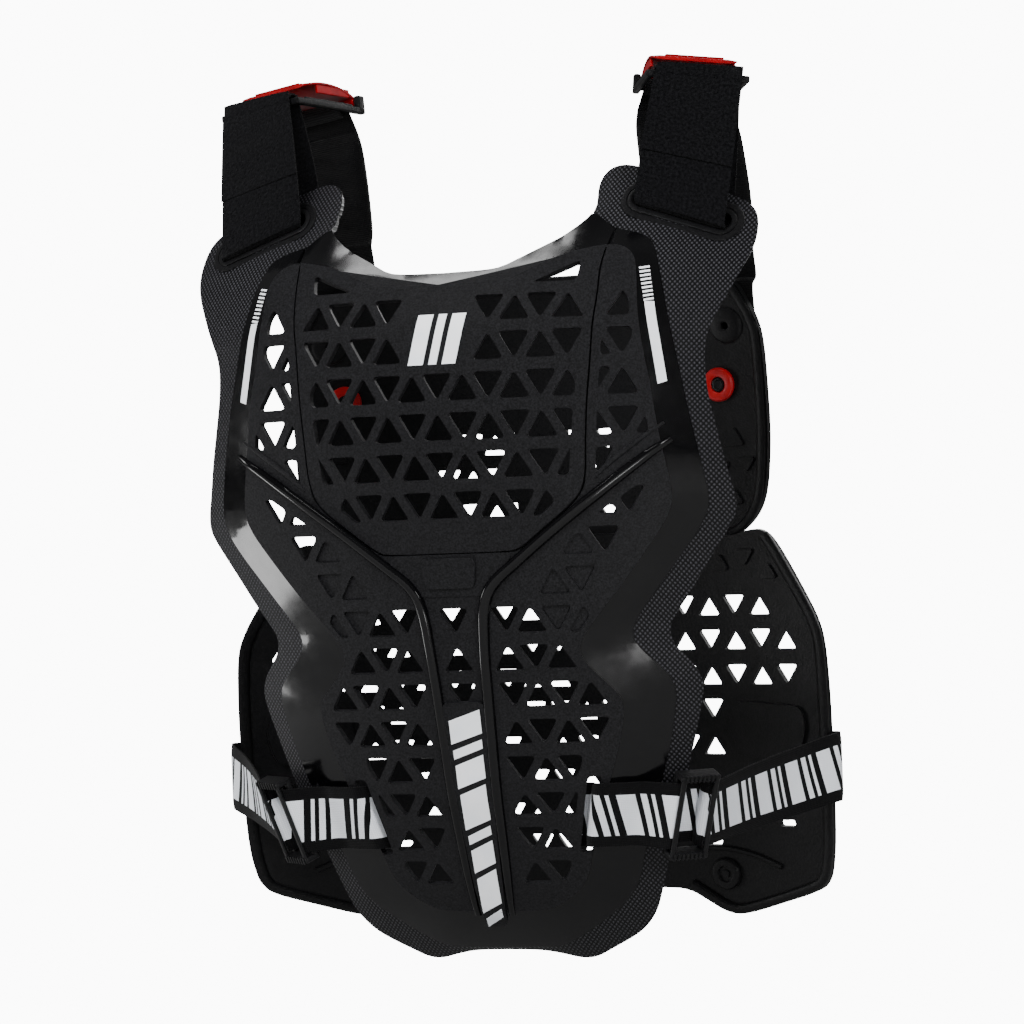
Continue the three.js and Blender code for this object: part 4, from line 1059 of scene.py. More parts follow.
def eyelet_outline(side, margin, steps=10):
    """The stadium of a strap slot, grown by a margin."""
    radius = straps("slot_height") / 2 + margin
    reach = straps("slot_length") / 2 - straps("slot_height") / 2
    turn = math.radians(-side * SLOT_TILT)
    points = []
    for end in (1, -1):
        for i in range(steps + 1):
            angle = -math.pi / 2 + math.pi * i / steps + (math.pi if end < 0 else 0)
            x = end * reach + radius * math.cos(angle)
            z = radius * math.sin(angle)
            points.append((side * SLOT_X + x * math.cos(turn) - z * math.sin(turn),
                           SLOT_Z + x * math.sin(turn) + z * math.cos(turn)))
    return points


def waist_slot(side):
    """The slot that a waist strap comes out of."""
    half = straps("waist_width") / 2 + 2
    lean = math.tan(math.radians(SLIDER_LEAN))
    corners = []
    for u, v in ((-1, -1), (1, -1), (1, 1), (-1, 1)):
        corners.append((side * (WAIST_SLOT_X + u * 3.8 + v * half * lean), WAIST_Z + v * half))
    return round_corners(corners, 1.6)


INSERT_ROWS = [(1, -5, -2), (1, 2, 5), (2, -5, -2), (2, 2, 5), (3, -5, 5), (4, -5, 5), (5, -5, 5),
               (6, -4, 4)]
SIDE_ROWS = [(1, 7, 7), (2, 6, 8), (3, 6, 8), (4, 6, 8), (5, 6, 7), (6, 6, 7), (7, 6, 6)]
RIB_ROWS = [(9, 2, 3)]
BELLY_ROWS = [(10, 2, 4), (11, 2, 5), (12, 2, 5), (13, 2, 5), (14, 2, 4), (15, 2, 4), (16, 2, 3)]
SPINE_ROWS = [(9, 0, 0), (10, 0, 0), (11, 0, 0)]
BLIND_ROWS = [(7, 5, 5), (8, 4, 5), (9, 4, 5)]

# The raised V: place and share of its full width, from the flange to the middle and down to the hem.
RIDGE = [(121.5, -211.5, 0.55), (108, -220.5, 0.85), (83, -238.6, 1.0), (61, -255, 1.0), (38, -273.2, 1.0),
         (23.5, -285.5, 1.05), (17.5, -298, 1.05), (15.2, -321, 1.0), (14.2, -345, 1.0), (13.4, -373, 1.0),
         (12.4, -410, 0.95), (11.2, -445, 0.85), (9.8, -470, 0.6)]


def grown(outline, reach):
    """A small outline made larger all round."""
    points = np.array(outline)
    arms = points - points.mean(axis=0)
    return [tuple(point) for point in points + arms / np.linalg.norm(arms, axis=1)[:, None] * reach]


def widened(line, reach):
    """The two lines that run beside an open line at a distance."""
    line = np.array(line)
    step = np.gradient(line, axis=0)
    side = np.stack([-step[:, 1], step[:, 0]], axis=1) / np.linalg.norm(step, axis=1)[:, None]
    return ([tuple(point) for point in line + side * sign * reach] for sign in (-1, 1))


def build_insert():
    """The matte insert with its lattice, and the glossy bevel of the neck."""
    seam = softened(SEAM, closed=False)
    cut = [(x, z) for x, z in seam if z < -104.4]
    top = softened([(86.7, -104.9), (73.5, -107.3), (59, -112), (43, -120.6), (36, -123.4), (23, -124), (0, -124)],
                   closed=False)
    outline = strip_outline(both_sides(cut), both_sides(top))
    borders = []
    for start, end in (((80.4, -166), (84.8, -128)), ((40, -266.2), (74.5, -236.5))):
        (ax, az), (bx, bz) = border = shifted(start, end, plates("hole_margin"))
        borders += [border, [(-bx, bz), (-ax, az)]]
    holes = field(INSERT_ROWS, borders, False)
    corner_cell = counterclockwise([(50.5, -125.2), (73.6, -125.2), (75.2, -113.6)])
    soft = round_corners(corner_cell, plates("hole_corner"))
    holes += [soft, [(-x, z) for x, z in reversed(soft)]]
    panel = plate("chest_insert_panel", outline, holes, chest_surface, plates("plate_wall"), 6.0, 0.75,
                  offset=-PANEL_RAISE)
    finish_piece(panel, "matte", ["chest_insert"])
    rim = softened([(88.0, -95.4), (75.6, -84.2), (71, -90.5), (61, -99), (42, -109.5), (32, -115.2), (23, -116.5),
                    (0, -117)], closed=False, times=1)
    inner = softened([(86.9, -104.7), (73.5, -107.3), (59, -112), (43, -120.6), (36, -123.4), (23, -124),
                      (0, -124)], closed=False, times=1)
    bevel = plate("neck_bevel", strip_outline(both_sides(rim), both_sides(inner)), [], chest_surface,
                  plates("plate_wall"), 3.0, 0.6)
    finish_piece(bevel, "gloss", ["chest_insert"])


def build_panel():
    """The matte panel round and below the insert, with its lattice."""
    gap = plates("seam_gap")
    panel = softened([(x, z) for x, z in PANEL if not (x < 88 and z > -110)], closed=False)
    seam = [(x + gap, z - (gap if z < -230 else 0)) for x, z in softened(SEAM, closed=False) if z < -104.2]
    seam[-1] = (0, seam[-1][1])
    outline = strip_outline(both_sides(panel), both_sides(seam))
    inner = shifted((84.9, -118), (79.4, -192), plates("hole_margin") + gap)
    low = shifted((79, -192), (76.4, -232), plates("hole_margin") + gap)
    outer = shifted((116, -215), (104.6, -128), plates("hole_margin"))
    rib_line = shifted((83, -232), (121.5, -205.5), 3.0)
    rib_foot = shifted((121.5, -219), (60, -262), 4.0)
    holes = field(SIDE_ROWS[:5], [inner, low, outer, rib_line], True)
    holes += field(SIDE_ROWS[5:], [shifted((58, -262), (120, -220), -3.0)[::-1],
                                   shifted((93, -285.5), (119, -244.5), plates("hole_margin"))], True)
    waist = shifted((85.8, -352), (66.5, -322), plates("hole_margin"))
    hip = shifted((58, -440), (86, -352), plates("hole_margin"))
    upper = shifted((66, -321), (114, -258), plates("hole_margin"))
    holes += field(RIB_ROWS, [upper], True)
    slot_edge = [(WAIST_SLOT_X - 8 - 40 * 0.23, WAIST_Z - 40), (WAIST_SLOT_X - 8 + 40 * 0.23, WAIST_Z + 40)]
    holes += field(BELLY_ROWS[:3], [waist, hip], True)
    holes += field(BELLY_ROWS[3:], [waist, hip, slot_edge], True)
    holes += field(SPINE_ROWS, [], False)
    blind = field(BLIND_ROWS, [rib_foot, upper], True)
    holes += blind
    for side in (1, -1):
        holes.append(counterclockwise(waist_slot(side)))
    piece = plate("chest_panel", outline, holes, chest_surface, plates("plate_wall"), 6.0, 0.75,
                  offset=-PANEL_RAISE)
    finish_piece(piece, "matte", ["chest_shell"])
    floors = [plate("floor", grown(hole, 1.6), [], chest_surface, 1.2, 9.0, 0, offset=1.1) for hole in blind]
    finish_piece(joined("blind_cell_floors", floors), "matte", ["chest_shell"])
    outer, inner = widened(both_sides(softened(SEAM, closed=False)), 3.0)
    backing = plate("seam_backing", strip_outline(outer, inner), [], chest_surface, 1.0, 8.0, 0,
                    offset=plates("plate_wall") - PANEL_RAISE)
    finish_piece(backing, "matte", ["chest_shell"])


def build_band():
    """The glossy band that falls back round the matte panel."""
    inner = softened([(89.8, -104.5)] + [(x, z) for x, z in PANEL if not (x < 95 and z > -110)], closed=False)
    outline = strip_outline(GLOSS_OPEN, both_sides(inner))
    piece = plate("gloss_band", outline, [], chest_surface, plates("plate_wall"), 5.0, 0.5)
    finish_piece(piece, "gloss", ["chest_shell"])


def flange_surface(points):
    """The flange lies just behind the glossy band's edge."""
    return chest_surface(points) + 0.6


def build_flange():
    """The cross-hatched flange with the two ears that hold the shoulder straps."""
    outer = softened([(75.2, -85.2)] + [point for point in EDGE if point[0] < 75.2 and -84 < point[1] < -60
                                        or point[0] > 75.4 or point[1] < -200], closed=False)
    inner = [(82.5, -91.2)] + GLOSS_OPEN + [(-82.5, -91.2)]
    slots = [eyelet_outline(side, 0.0) for side in (1, -1)]
    piece = plate("cross_hatched_flange", strip_outline(both_sides(outer), inner), slots, flange_surface,
                  plates("plate_wall"), 5.0, 1.2, segments=3)
    finish_piece(piece, "flange", ["chest_shell"])


def build_ridges():
    """The raised V and the two ribs beside the spine, with the thin ledge above them."""
    for side, word in SIDES:
        path = [(side * x, z, share) for x, z, share in RIDGE]
        piece = rib(f"chest_rib_{word}", path, chest_surface, 6.4, 3.6)
        finish_piece(piece, "gloss", ["chest_shell"], angle=50)
        ledge = [(side * x, z, share) for x, z, share in
                 ((118, -203, 0.5), (104, -212.5, 1.0), (90, -223, 1.0), (80.5, -231.5, 0.6))]
        piece = rib(f"chest_ledge_{word}", ledge, chest_surface, 3.0, 1.2)
        finish_piece(piece, "matte", ["chest_shell"], angle=50)


def raised(name, outline, height, rim, node, step=6.0, lift=0.0):
    """A raised matte pad that stands on the front of the chest plate."""
    piece = plate(name, outline, [], chest_surface, height + 0.6, step, rim, offset=-height - lift)
    finish_piece(piece, "matte", [node])


def build_badges():
    """The plain tab under the insert, the spine plate with generic slanted bars, and the side stripes."""
    tab = round_corners([(-15.5, -270.8), (-13.6, -287.2), (13.6, -287.2), (15.5, -270.8)], 2.4)
    raised("chest_tab_plate", tab, 2.1, 0.7, "chest_tab", 4.0, PANEL_RAISE)
    step = round_corners([(-36, -268.9), (-20, -291.5), (20, -291.5), (36, -268.9)], 3.0)
    raised("tab_ground", step, 0.7, 0.4, "chest_shell", 5.0, 0.3)
    spine = round_corners([(-11.6, -349), (-10.6, -400), (-8.3, -452), (-6.0, -476.5), (6.0, -476.5), (8.3, -452),
                           (10.6, -400), (11.6, -349)], 2.0)
    raised("spine_cover", spine, 2.1, 0.7, "spine_plate", 4.0, PANEL_RAISE)
    bars = []
    z = -356.0
    for height, gap in ((13, 3.4), (5, 3.4), (13, 3.4), (20, 3.4), (5, 3.4), (13, 3.4), (20, 3.4), (5, 3.4)):
        half = float(np.interp(z, [-476, -349], [4.8, 9.2]))
        bars.append([(-half, z - 3), (-half, z - 3 - height), (half, z + 3 - height), (half, z + 3)])
        z -= height + gap
    sheets = []
    for i, bar in enumerate(bars):
        sheets.append(plate(f"bar_{i}", bar, [], chest_surface, 0.25, 5.0, 0, offset=-2.1 - PANEL_RAISE - 0.2))
    finish_piece(joined("spine_bars", sheets), "print", ["spine_plate"])
    sheets = []
    top, foot = -140.5, -167.5
    for i, (low, high) in enumerate(((-13.0, -4.5), (-1.5, 3.0), (6.0, 13.5))):
        outline = [(low - 3, foot), (high - 3, foot), (high + 3, top), (low + 3, top)]
        sheets.append(plate(f"mark_{i}", outline, [], chest_surface, 0.3, 5.0, 0, offset=-0.55))
    finish_piece(joined("chest_mark", sheets), "print", ["chest_insert"])
    for side, word in SIDES:
        sheets = []
        outer = ((110.0, -118.0), (113.6, -138.0), (120.0, -181.0))
        inner = ((105.2, -118.0), (109.0, -138.0), (115.6, -182.5))
        for i in range(9):
            a, b = i / 9, (i + 0.5) / 9

            def between(line, share):
                return tuple(start + (end - start) * share for start, end in zip(line[0], line[1]))

            corners = [between(outer, a), between(outer, b), between(inner, b), between(inner, a)]
            corners = [(x, z - (0.9 if j > 1 else 0)) for j, (x, z) in enumerate(corners)]
            corners = [(side * x, z) for x, z in corners]
            sheets.append(plate(f"hatch_{i}", corners, [], chest_surface, 0.3, 5.0, 0, offset=-0.2))
        solid = [(side * x, z) for x, z in (outer[1], outer[2], inner[2], inner[1])]
        sheets.append(plate("stripe", solid, [], chest_surface, 0.3, 5.0, 0, offset=-0.2))
        finish_piece(joined(f"side_stripe_{word}", sheets), "print", ["chest_shell"])


def ring_band(name, side, steps, surface):
    """A rounded ring that follows the slot of an ear through steps of margin and height."""
    loops = []
    for margin, lift in steps:
        line = eyelet_outline(side, margin, 12)
        depth = surface(line)
        loops.append([(x, y - lift, z) for (x, z), y in zip(line, depth)])
    return loft(name, loops)


def build_eyelets():
    """The smooth reinforcement round each strap slot, with its two fine seams."""
    steps = [(6.2, -0.6), (6.1, 0.7), (5.6, 1.3), (4.9, 1.5), (3.1, 1.55), (2.9, 0.9), (2.6, 0.9), (2.4, 1.7),
             (1.7, 2.3), (0.7, 2.4), (-0.2, 1.9), (-0.7, 0.9), (-0.8, -1.5), (-0.8, -4.6), (0.4, -5.0), (3.0, -5.0)]
    for side, word in SIDES:
        piece = ring_band(f"strap_ring_{word}", side, steps, flange_surface)
        finish_piece(piece, "fitting", [f"strap_eyelet_{word}"], angle=40)


def buckle_axes(side):
    """The shoulder buckle's directions across, back and up, and its start at the front bar's middle."""
    turn = (Matrix.Rotation(side * math.radians(BUCKLE_YAW), 3, "Z")
            @ Matrix.Rotation(side * math.radians(BUCKLE_TILT), 3, "Y"))
    across, back, up = (np.array(turn.col[i]) for i in range(3))
    return across * side, back, up, np.array([side * BUCKLE[0], BUCKLE[1], BUCKLE[2]])


def round_buckle_bar(side, bar_y, start, end, steps):
    """A strap's turn round a bar of the shoulder buckle, between two angles from straight back over the top."""
    across, back, up, origin = buckle_axes(side)
    sections = []
    for i in range(steps + 1):
        angle = math.radians(start + (end - start) * i / steps)
        point = origin + back * (bar_y + loop_radius() * math.cos(angle)) + up * loop_radius() * math.sin(angle)
        sections.append((point, across, straps("strap_width"), straps("strap_wall")))
    return sections


STRAP_UNDER = [(4.4, -9), (-2.0, -5), (-4.1, -0.5), (-4.1, 4.5), (0.5, 8.1), (14, 8.1), (24, 6.5)]


def front_strap_sections(side):
    """The front strap's way over the buckle's bar, down to its slot and back up behind."""
    sections = [(place, across, width * 1.03, wall)
                for place, across, width, wall in round_buckle_bar(side, 0.0, 0, 180, 6)]
    reach = straps("strap_width") / 2 * math.cos(math.radians(SLOT_TILT))
    fall = straps("strap_width") / 2 * math.sin(math.radians(SLOT_TILT))
    for rise, out in STRAP_UNDER:
        ends = []
        for end in (-1, 1):
            x, z = SLOT_X + end * reach, SLOT_Z + rise - end * fall
            ends.append(np.array([side * x, chest_surface([(x, z)])[0] + out, z]))
        sections.append(((ends[0] + ends[1]) / 2, ends[1] - ends[0], straps("strap_width") * 1.1,
                         straps("strap_wall")))
    return sections


def build_front_straps():
    """Front shoulder straps of loop tape, each with its folded outer layer."""
    for side, word in SIDES:
        sections = front_strap_sections(side)

        def folds(u, run, side=side):
            return 0.28 * math.sin(run * 0.11 + u * 1.3 + side) + 0.14 * math.sin(run * 0.31 - u * 2.1)

        piece = band(f"front_strap_band_{word}", sections, 5, 10, True, folds)
        finish_strap(piece, "loop", f"front_strap_{word}")
        top, low = sections[6], sections[7]
        layer = []
        for share in (0.02, 0.2, 0.35, 0.5, 0.66):
            centre = top[0] * (1 - share) + low[0] * share + np.array([0, -straps("strap_wall") * 0.5 - 0.65, 0])
            across = top[1] * (1 - share) + low[1] / np.linalg.norm(low[1]) * share
            width = top[2] * (1 - share) + low[2] * share
            layer.append((centre, across, width * 1.01, 1.1))
        piece = band(f"front_strap_flap_{word}", layer, 6, 10, False, folds)
        finish_strap(piece, "loop", f"front_strap_{word}")


def build_back_straps():
    """Padded back straps: webbing round the rear bar, a quilted pad over the shoulder and the sewn tail."""
    for side, word in SIDES:
        turn = round_buckle_bar(side, fittings("rear_bar"), 250, 0, 8)
        start, across = turn[-1][:2]
        end_x = BACK_STRAP_END
        level = np.array([side, -end_x / UPPER_BOW, 0.0])
        level /= np.linalg.norm(level)
        fall = []
        for down, back, width, wall, inward in BACK_STRAP:
            place = np.array([start[0] * (1 - inward) + side * end_x * inward,
                              start[1] + back * BACK_STRAP_REACH, BUCKLE[2] - down * BACK_STRAP_DROP])
            fall.append((place, across * (1 - inward) + level * inward, width * straps("strap_width"), wall * 7.0))
        tail = []
        for z in (UPPER_TOP - 8, UPPER_TOP - 34):
            y = upper_surface([(end_x, z)])[0] + plates("plate_wall") + 0.4 + fall[-1][3]
            tail.append((np.array([side * end_x, y, z]), level, straps("strap_width"), fall[-1][3]))
        web = turn + fall[:1]
        piece = band(f"back_strap_turn_{word}", web, 4, 8, False)
        finish_strap(piece, "webbing", f"back_strap_{word}")

        def quilt(u, run, side=side):
            channel = abs(math.sin(math.pi * (run - 4) / 30.0)) ** 0.5
            crease = (math.sin(run * 0.55 + 2.6 * u + side) * 0.55 + math.sin(run * 0.27 - 3.4 * u) * 0.6
                      + math.sin(run * 0.93 + 5.0 * u * u) * 0.3)
            return 2.6 * channel - 0.8 + crease

        piece = band(f"back_strap_pad_{word}", fall[:5], 14, 14, False, quilt, 0.5)
        finish_strap(piece, "quilt", f"back_strap_{word}", 70)
        lower = [(c, a, w * 0.985, t * 0.9) for c, a, w, t in fall[4:]] + tail
        piece = band(f"back_strap_tail_{word}", lower, 6, 8, False)
        finish_strap(piece, "webbing", f"back_strap_{word}")


BACK_STRAP = [(0.09, 0.05, 1.2, 0.5, 0.0), (0.17, 0.09, 1.28, 0.9, 0.1), (0.34, 0.2, 1.3, 1.0, 0.35),
              (0.48, 0.32, 1.28, 0.9, 0.55), (0.53, 0.42, 1.2, 0.45, 0.65), (0.66, 0.8, 1.12, 0.43, 0.9),
              (0.74, 1.0, 1.08, 0.43, 1.0)]


def place_buckle(piece, side):
    """Moves a piece from the buckle's own frame to its shoulder."""
    turn = (Matrix.Rotation(side * math.radians(BUCKLE_YAW), 4, "Z")
            @ Matrix.Rotation(side * math.radians(BUCKLE_TILT), 4, "Y"))
    place = Vector((side * BUCKLE[0], BUCKLE[1], BUCKLE[2])) * MM
    piece.data.transform(Matrix.Translation(place) @ turn)


def build_buckles():
    """Shoulder buckles: a black frame with two bars and lugs, and the red lever on its pin."""
    bar, rail_x = fittings("buckle_bar"), fittings("buckle_rail")
    pin_y, pin_z = fittings("hinge_back"), fittings("hinge_height")
    rail = pin_y + 3 + bar / 2
    lug = pin_z + 3 + bar / 2
    for side, word in SIDES:
        parts = [
            block("bar", (2 * rail_x, bar, bar), (0, 0, 0), 1.1),
            block("bar", (2 * rail_x, bar, bar), (0, fittings("rear_bar"), 0), 1.1),
            rod("pin", 1.5, 2 * rail_x + bar - 0.6, (0, pin_y, pin_z)),
        ]
        for end in (1, -1):
            parts += [
                block("rail", (bar, rail, bar), (end * rail_x, rail / 2 - bar / 2, 0), 1.1),
                block("lug", (bar, 6.2, lug), (end * rail_x, pin_y, lug / 2 - bar / 2), 1.2),
                block("cheek", (1.4, 44, 2.6), (end * (rail_x + 0.6), 28, 1.6), 0.6),
            ]
        piece = joined(f"buckle_body_{word}", parts)
        place_buckle(piece, side)
        finish_piece(piece, "fitting", [f"buckle_frame_{word}"], angle=40)
        half = rail_x - bar / 2 - 0.4
        arch = [((0, y, z), (1, 0, 0), 2 * half * share, wall) for y, z, share, wall in
                ((57.4, 7.6, 1.0, 2.6), (52, 10.2, 1.0, 2.6), (44, 12.4, 1.0, 2.5), (34, 13.6, 1.0, 2.4),
                 (24, 13.4, 1.0, 2.4), (16, 12.2, 0.98, 2.2), (12.5, 11.4, 0.95, 1.8))]
        parts = [band("plate", [(np.array(place), np.array(across), width, wall)
                                for place, across, width, wall in arch], 5, 10)]
        for x in (-half + 1.2, half - 1.2):
            parts.append(block("web", (1.8, 30, 5.0), (x, 38, 10.2), 0.6))
        for i in range(5):
            parts.append(block("grip", (2 * half - 16, 1.1, 0.9), (0, 16.5 + 2.6 * i, 13.9 + 0.12 * i), 0.35, 2))
        barrel = turned("barrel", [(1.95, -half + 0.3), (2.7, -half), (3.0, -half + 0.4), (3.0, half - 0.4),
                                   (2.7, half), (1.95, half - 0.3), (1.95, -half + 0.3)], 28)
        barrel.data.transform(Matrix.Translation(Vector((0, pin_y, pin_z)) * MM)
                              @ Matrix.Rotation(math.pi / 2, 4, "Y"))
        parts.append(barrel)
        piece = joined(f"lever_{word}_red", parts)
        place_buckle(piece, side)
        finish_piece(piece, "red", [f"buckle_lever_{word}"], body=f"lever_{word}", angle=40)


def waist_section(side, x, z, surface, out, lean):
    """A section of a waist strap that lies on a leaning plate."""
    ends = []
    for rise in (straps("waist_width") / 2, -straps("waist_width") / 2):
        along = x + rise * math.tan(math.radians(lean))
        ends.append(np.array([side * along, surface([(along, z + rise)])[0] + out, z + rise]))
    return ((ends[0] + ends[1]) / 2, ends[0] - ends[1], straps("waist_width"), straps("waist_wall"))


def slider_axes(side):
    """The slider's directions along and across the strap and out from the body, and its centre."""
    turn = math.radians(SLIDER_TURN)
    along = np.array([side * math.cos(turn), math.sin(turn), 0.0])
    rise = waist_section(side, SLIDER_X, WAIST_Z, chest_surface, 0, SLIDER_LEAN)[1]
    out = np.cross(along, rise / np.linalg.norm(rise)) * side
    out /= np.linalg.norm(out)
    across = np.cross(out, along) * side
    across /= np.linalg.norm(across)
    return along, across, out, np.array([side * SLIDER_X, SLIDER_Y, WAIST_Z])


def round_bar(side, bar, start, end, steps):
    """A waist strap's turn round one bar of its slider."""
    along, across, out, centre = slider_axes(side)
    radius = fittings("slider_bar") * 0.8 + 0.4 + straps("waist_wall") / 2
    sections = []
    for i in range(steps + 1):
        angle = math.radians(start + (end - start) * i / steps)
        point = centre + along * (bar + radius * math.cos(angle)) + out * radius * math.sin(angle)
        sections.append((point, across, straps("waist_width"), straps("waist_wall")))
    return sections


WAIST_RUN = [(-7, 6.5), (-2, 4.9), (0.6, -0.4), (4.6, -3.6), (17, -5), (27, -6)]
WING_WRAP = [(0.3, 0.34), (0.66, 0.7), (0.92, 0.9), (1.0, 1.0)]


def build_waist():
    """Waist straps of printed elastic and the sliders that join them."""
    bar_size = fittings("slider_bar")
    reach = fittings("slider_width") / 2 - bar_size / 2
    for side, word in SIDES:
        front = [waist_section(side, WAIST_SLOT_X + x, WAIST_Z, chest_surface, out, SLIDER_LEAN)
                 for x, out in WAIST_RUN]
        front += round_bar(side, -reach, 110, -60, 6)
        piece = band(f"waist_front_band_{word}", front, 5, 8)
        finish_strap(piece, "elastic", f"waist_front_{word}")
        bar = round_bar(side, reach, 240, 70, 6)
        start = bar[-1]
        wing_z = WAIST_Z + WAIST_RISE
        clear = plates("plate_wall") + 0.4 + straps("waist_wall")
        wing_x = LOWER_REACH + clear
        wing_y = lower_surface([(LOWER_REACH, wing_z)])[0] + 1
        rows = []
        for x, y in WING_WRAP:
            centre = np.array([side * (side * start[0][0] * (1 - x) + wing_x * x),
                               start[0][1] * (1 - y) + wing_y * y, WAIST_Z * (1 - x) + wing_z * x])
            across = start[1] * (1 - x) + np.array([0, 0, 1.0]) * x
            rows.append((centre, across, straps("waist_width"), straps("waist_wall")))
        rows += [waist_section(side, LOWER_REACH - x, wing_z, lower_surface, clear + 0.8, 0)
                 for x in (2, 9, 17, 26, 36)]
        piece = band(f"waist_rear_band_{word}", bar + rows, 5, 8)
        finish_strap(piece, "elastic", f"waist_rear_{word}")
        along, across, out, centre = slider_axes(side)
        inner = [(centre + along * place - out * 3.2, across, straps("waist_width"), 1.6) for place in
                 (-reach - 1, -reach / 2, 0, reach / 2, reach + 1)]
        piece = band(f"waist_middle_band_{word}", inner, 3, 8)
        finish_strap(piece, "elastic", f"waist_front_{word}")
        parts = []
        cover = -side
        for x in (-reach, reach):
            parts.append(block("bar", (bar_size, bar_size, fittings("slider_height")), (x, 0, 0), 1.0))
        rail = straps("waist_width") / 2 + 2 + bar_size / 2
        for end in (1, -1):
            parts.append(block("rail", (fittings("slider_width"), 9.6, bar_size), (0, cover * 3.0, end * rail), 1.0))
            for i in range(8):
                parts.append(block("grip", (1.3, 1.2, bar_size + 0.5),
                                   (-9.1 + 2.6 * i, cover * 7.9, end * rail), 0.3, 2))
            parts.append(block("cover_bar", (3.0, 2.0, fittings("slider_height") - 2),
                               (end * (reach - 0.4), cover * 6.8, 0), 0.8))
        piece = joined(f"waist_slider_frame_{word}", parts)
        normal = np.cross(across, along)
        basis = Matrix([[along[i], normal[i], across[i], centre[i] * MM] for i in range(3)] + [[0, 0, 0, 1]])
        piece.data.transform(basis)
        finish_piece(piece, "fitting", [f"waist_slider_{word}"], angle=40)


UPPER_HALF = [(0, -106), (60, -106), (88, -107), (121, -111.5), (130, -117),
              (136, -129), (140.5, -138.5), (143.2, -151), (144.2, -191.5), (144, -212), (142, -236),
              (137.5, -249), (129, -258.4), (117, -266), (100, -271), (60, -272), (0, -272)]
LOWER_HALF = [(0, -259), (100, -259), (118, -264), (132, -259.5), (141, -260), (149, -269), (165, -298),
              (172, -312), (175.5, -325), (177, -352), (177.2, -380), (176.5, -433), (174, -455), (171, -464),
              (165, -469.5), (140, -478), (117, -485), (105, -484), (94, -478), (82, -471), (66, -470.5),
              (0, -470.5)]
LOWER_CELLS = [(-297.5, 8), (-317.5, 9), (-338, 9), (-358, 6), (-379, 6), (-399, 4), (-419, 4), (-438, 3)]


def triangle(x, base, apex, width):
    """A triangle that stands on its base or hangs from it, listed counterclockwise."""
    return counterclockwise([(x - width / 2, base), (x + width / 2, base), (x, apex)])


def back_cells(rows, pitch, width, height):
    """Triangular holes of the upper back plate, row by row, out to the reach of each row."""
    holes = []
    for row, reach, top in rows:
        for column in range(-14, 15):
            x = column * pitch / 2
            if abs(x) + width / 2 > reach:
                continue
            base, apex = (top, top - height) if (row + abs(column)) % 2 else (top - height, top)
            holes.append(round_corners(triangle(x, base, apex, width), 1.8))
    return holes


def build_upper_plate():
    """The upper back plate: satin, with a rolled rim, recessed triangles inside and raised ones outside."""
    outline = softened(mirrored(UPPER_HALF))
    holes = [round_hole(side * 121.5, -140.5, 2.2) for side in (1, -1)]
    holes += back_cells([(0, 62, -196), (1, 76, -217), (2, 62, -238)], 28, 15, 13)
    piece = plate("upper_plate", outline, holes, upper_surface, plates("plate_wall"), 7.0, 1.2, segments=3)
    finish_piece(piece, "back", ["upper_back_plate"])
    rim = [(x * 0.972, z + (2.6 if z < -262 else (-2.6 if z > -118 else 0))) for x, z in UPPER_HALF[3:14]]
    for side, word in SIDES:
        path = [(side * x, z) for x, z in rim]
        piece = rib(f"upper_rim_{word}", path, upper_surface, 6.0, 2.4)
        finish_piece(piece, "back", ["upper_back_plate"], angle=50)
        boss = turned(f"upper_boss_{word}", [(2.3, -1.0), (2.3, 1.6), (3.2, 2.2), (8.8, 2.2), (10.6, 1.2), (11.4, 0),
                                             (11.4, -1.0), (2.3, -1.0)])
        stand_on(boss, side * 121.5, -140.5, upper_surface, 0.0)
        finish_piece(boss, "back", ["upper_back_plate"], angle=40)
        pads = []
        for x, z, size, flip in ((122, -205, 15, 1), (130, -222, 12, -1), (114, -224, 12, -1), (122, -240, 12, 1)):
            pads.append(triangle_pad("pad", side * x, z, size, flip, upper_surface, 1.3, True))
        finish_piece(joined(f"upper_pads_{word}", pads), "back", ["upper_back_plate"])
    outer = []
    for side in (1, -1):
        for x, z, size, flip in ((46, -176, 22, -1), (72, -160, 22, 1), (98, -176, 22, -1), (98, -202, 22, 1),
                                 (98, -232, 22, -1)):
            outer.append(triangle_pad("raised", side * x, z, size, flip, upper_surface,
                                      plates("plate_wall") + 1.8, False))
    finish_piece(joined("upper_outside_pads", outer), "gloss", ["upper_back_plate"])
    spine_form = [(-13, -266), (13, -266), (17, -216), (15, -176), (-15, -176), (-17, -216)]
    spine = plate("upper_spine", round_corners(spine_form, 5), [], upper_surface, plates("plate_wall") + 3.0, 6.0,
                  1.5, offset=0.4, segments=3)
    finish_piece(spine, "back", ["upper_back_plate"])


def round_hole(x, z, radius):
    """A round hole."""
    steps = 14
    return [(x + radius * math.cos(2 * math.pi * i / steps), z + radius * math.sin(2 * math.pi * i / steps))
            for i in range(steps)]


def triangle_pad(name, x, z, size, flip, surface, height, within):
    """A raised triangle on the inner or the outer face of a back plate."""
    outline = triangle(x, z - flip * size * 0.38, z + flip * size * 0.42, size)
    offset = -height if within else 0.4
    return plate(name, round_corners(outline, 2.0), [], surface, height, 7.0, 0.7, offset=offset)


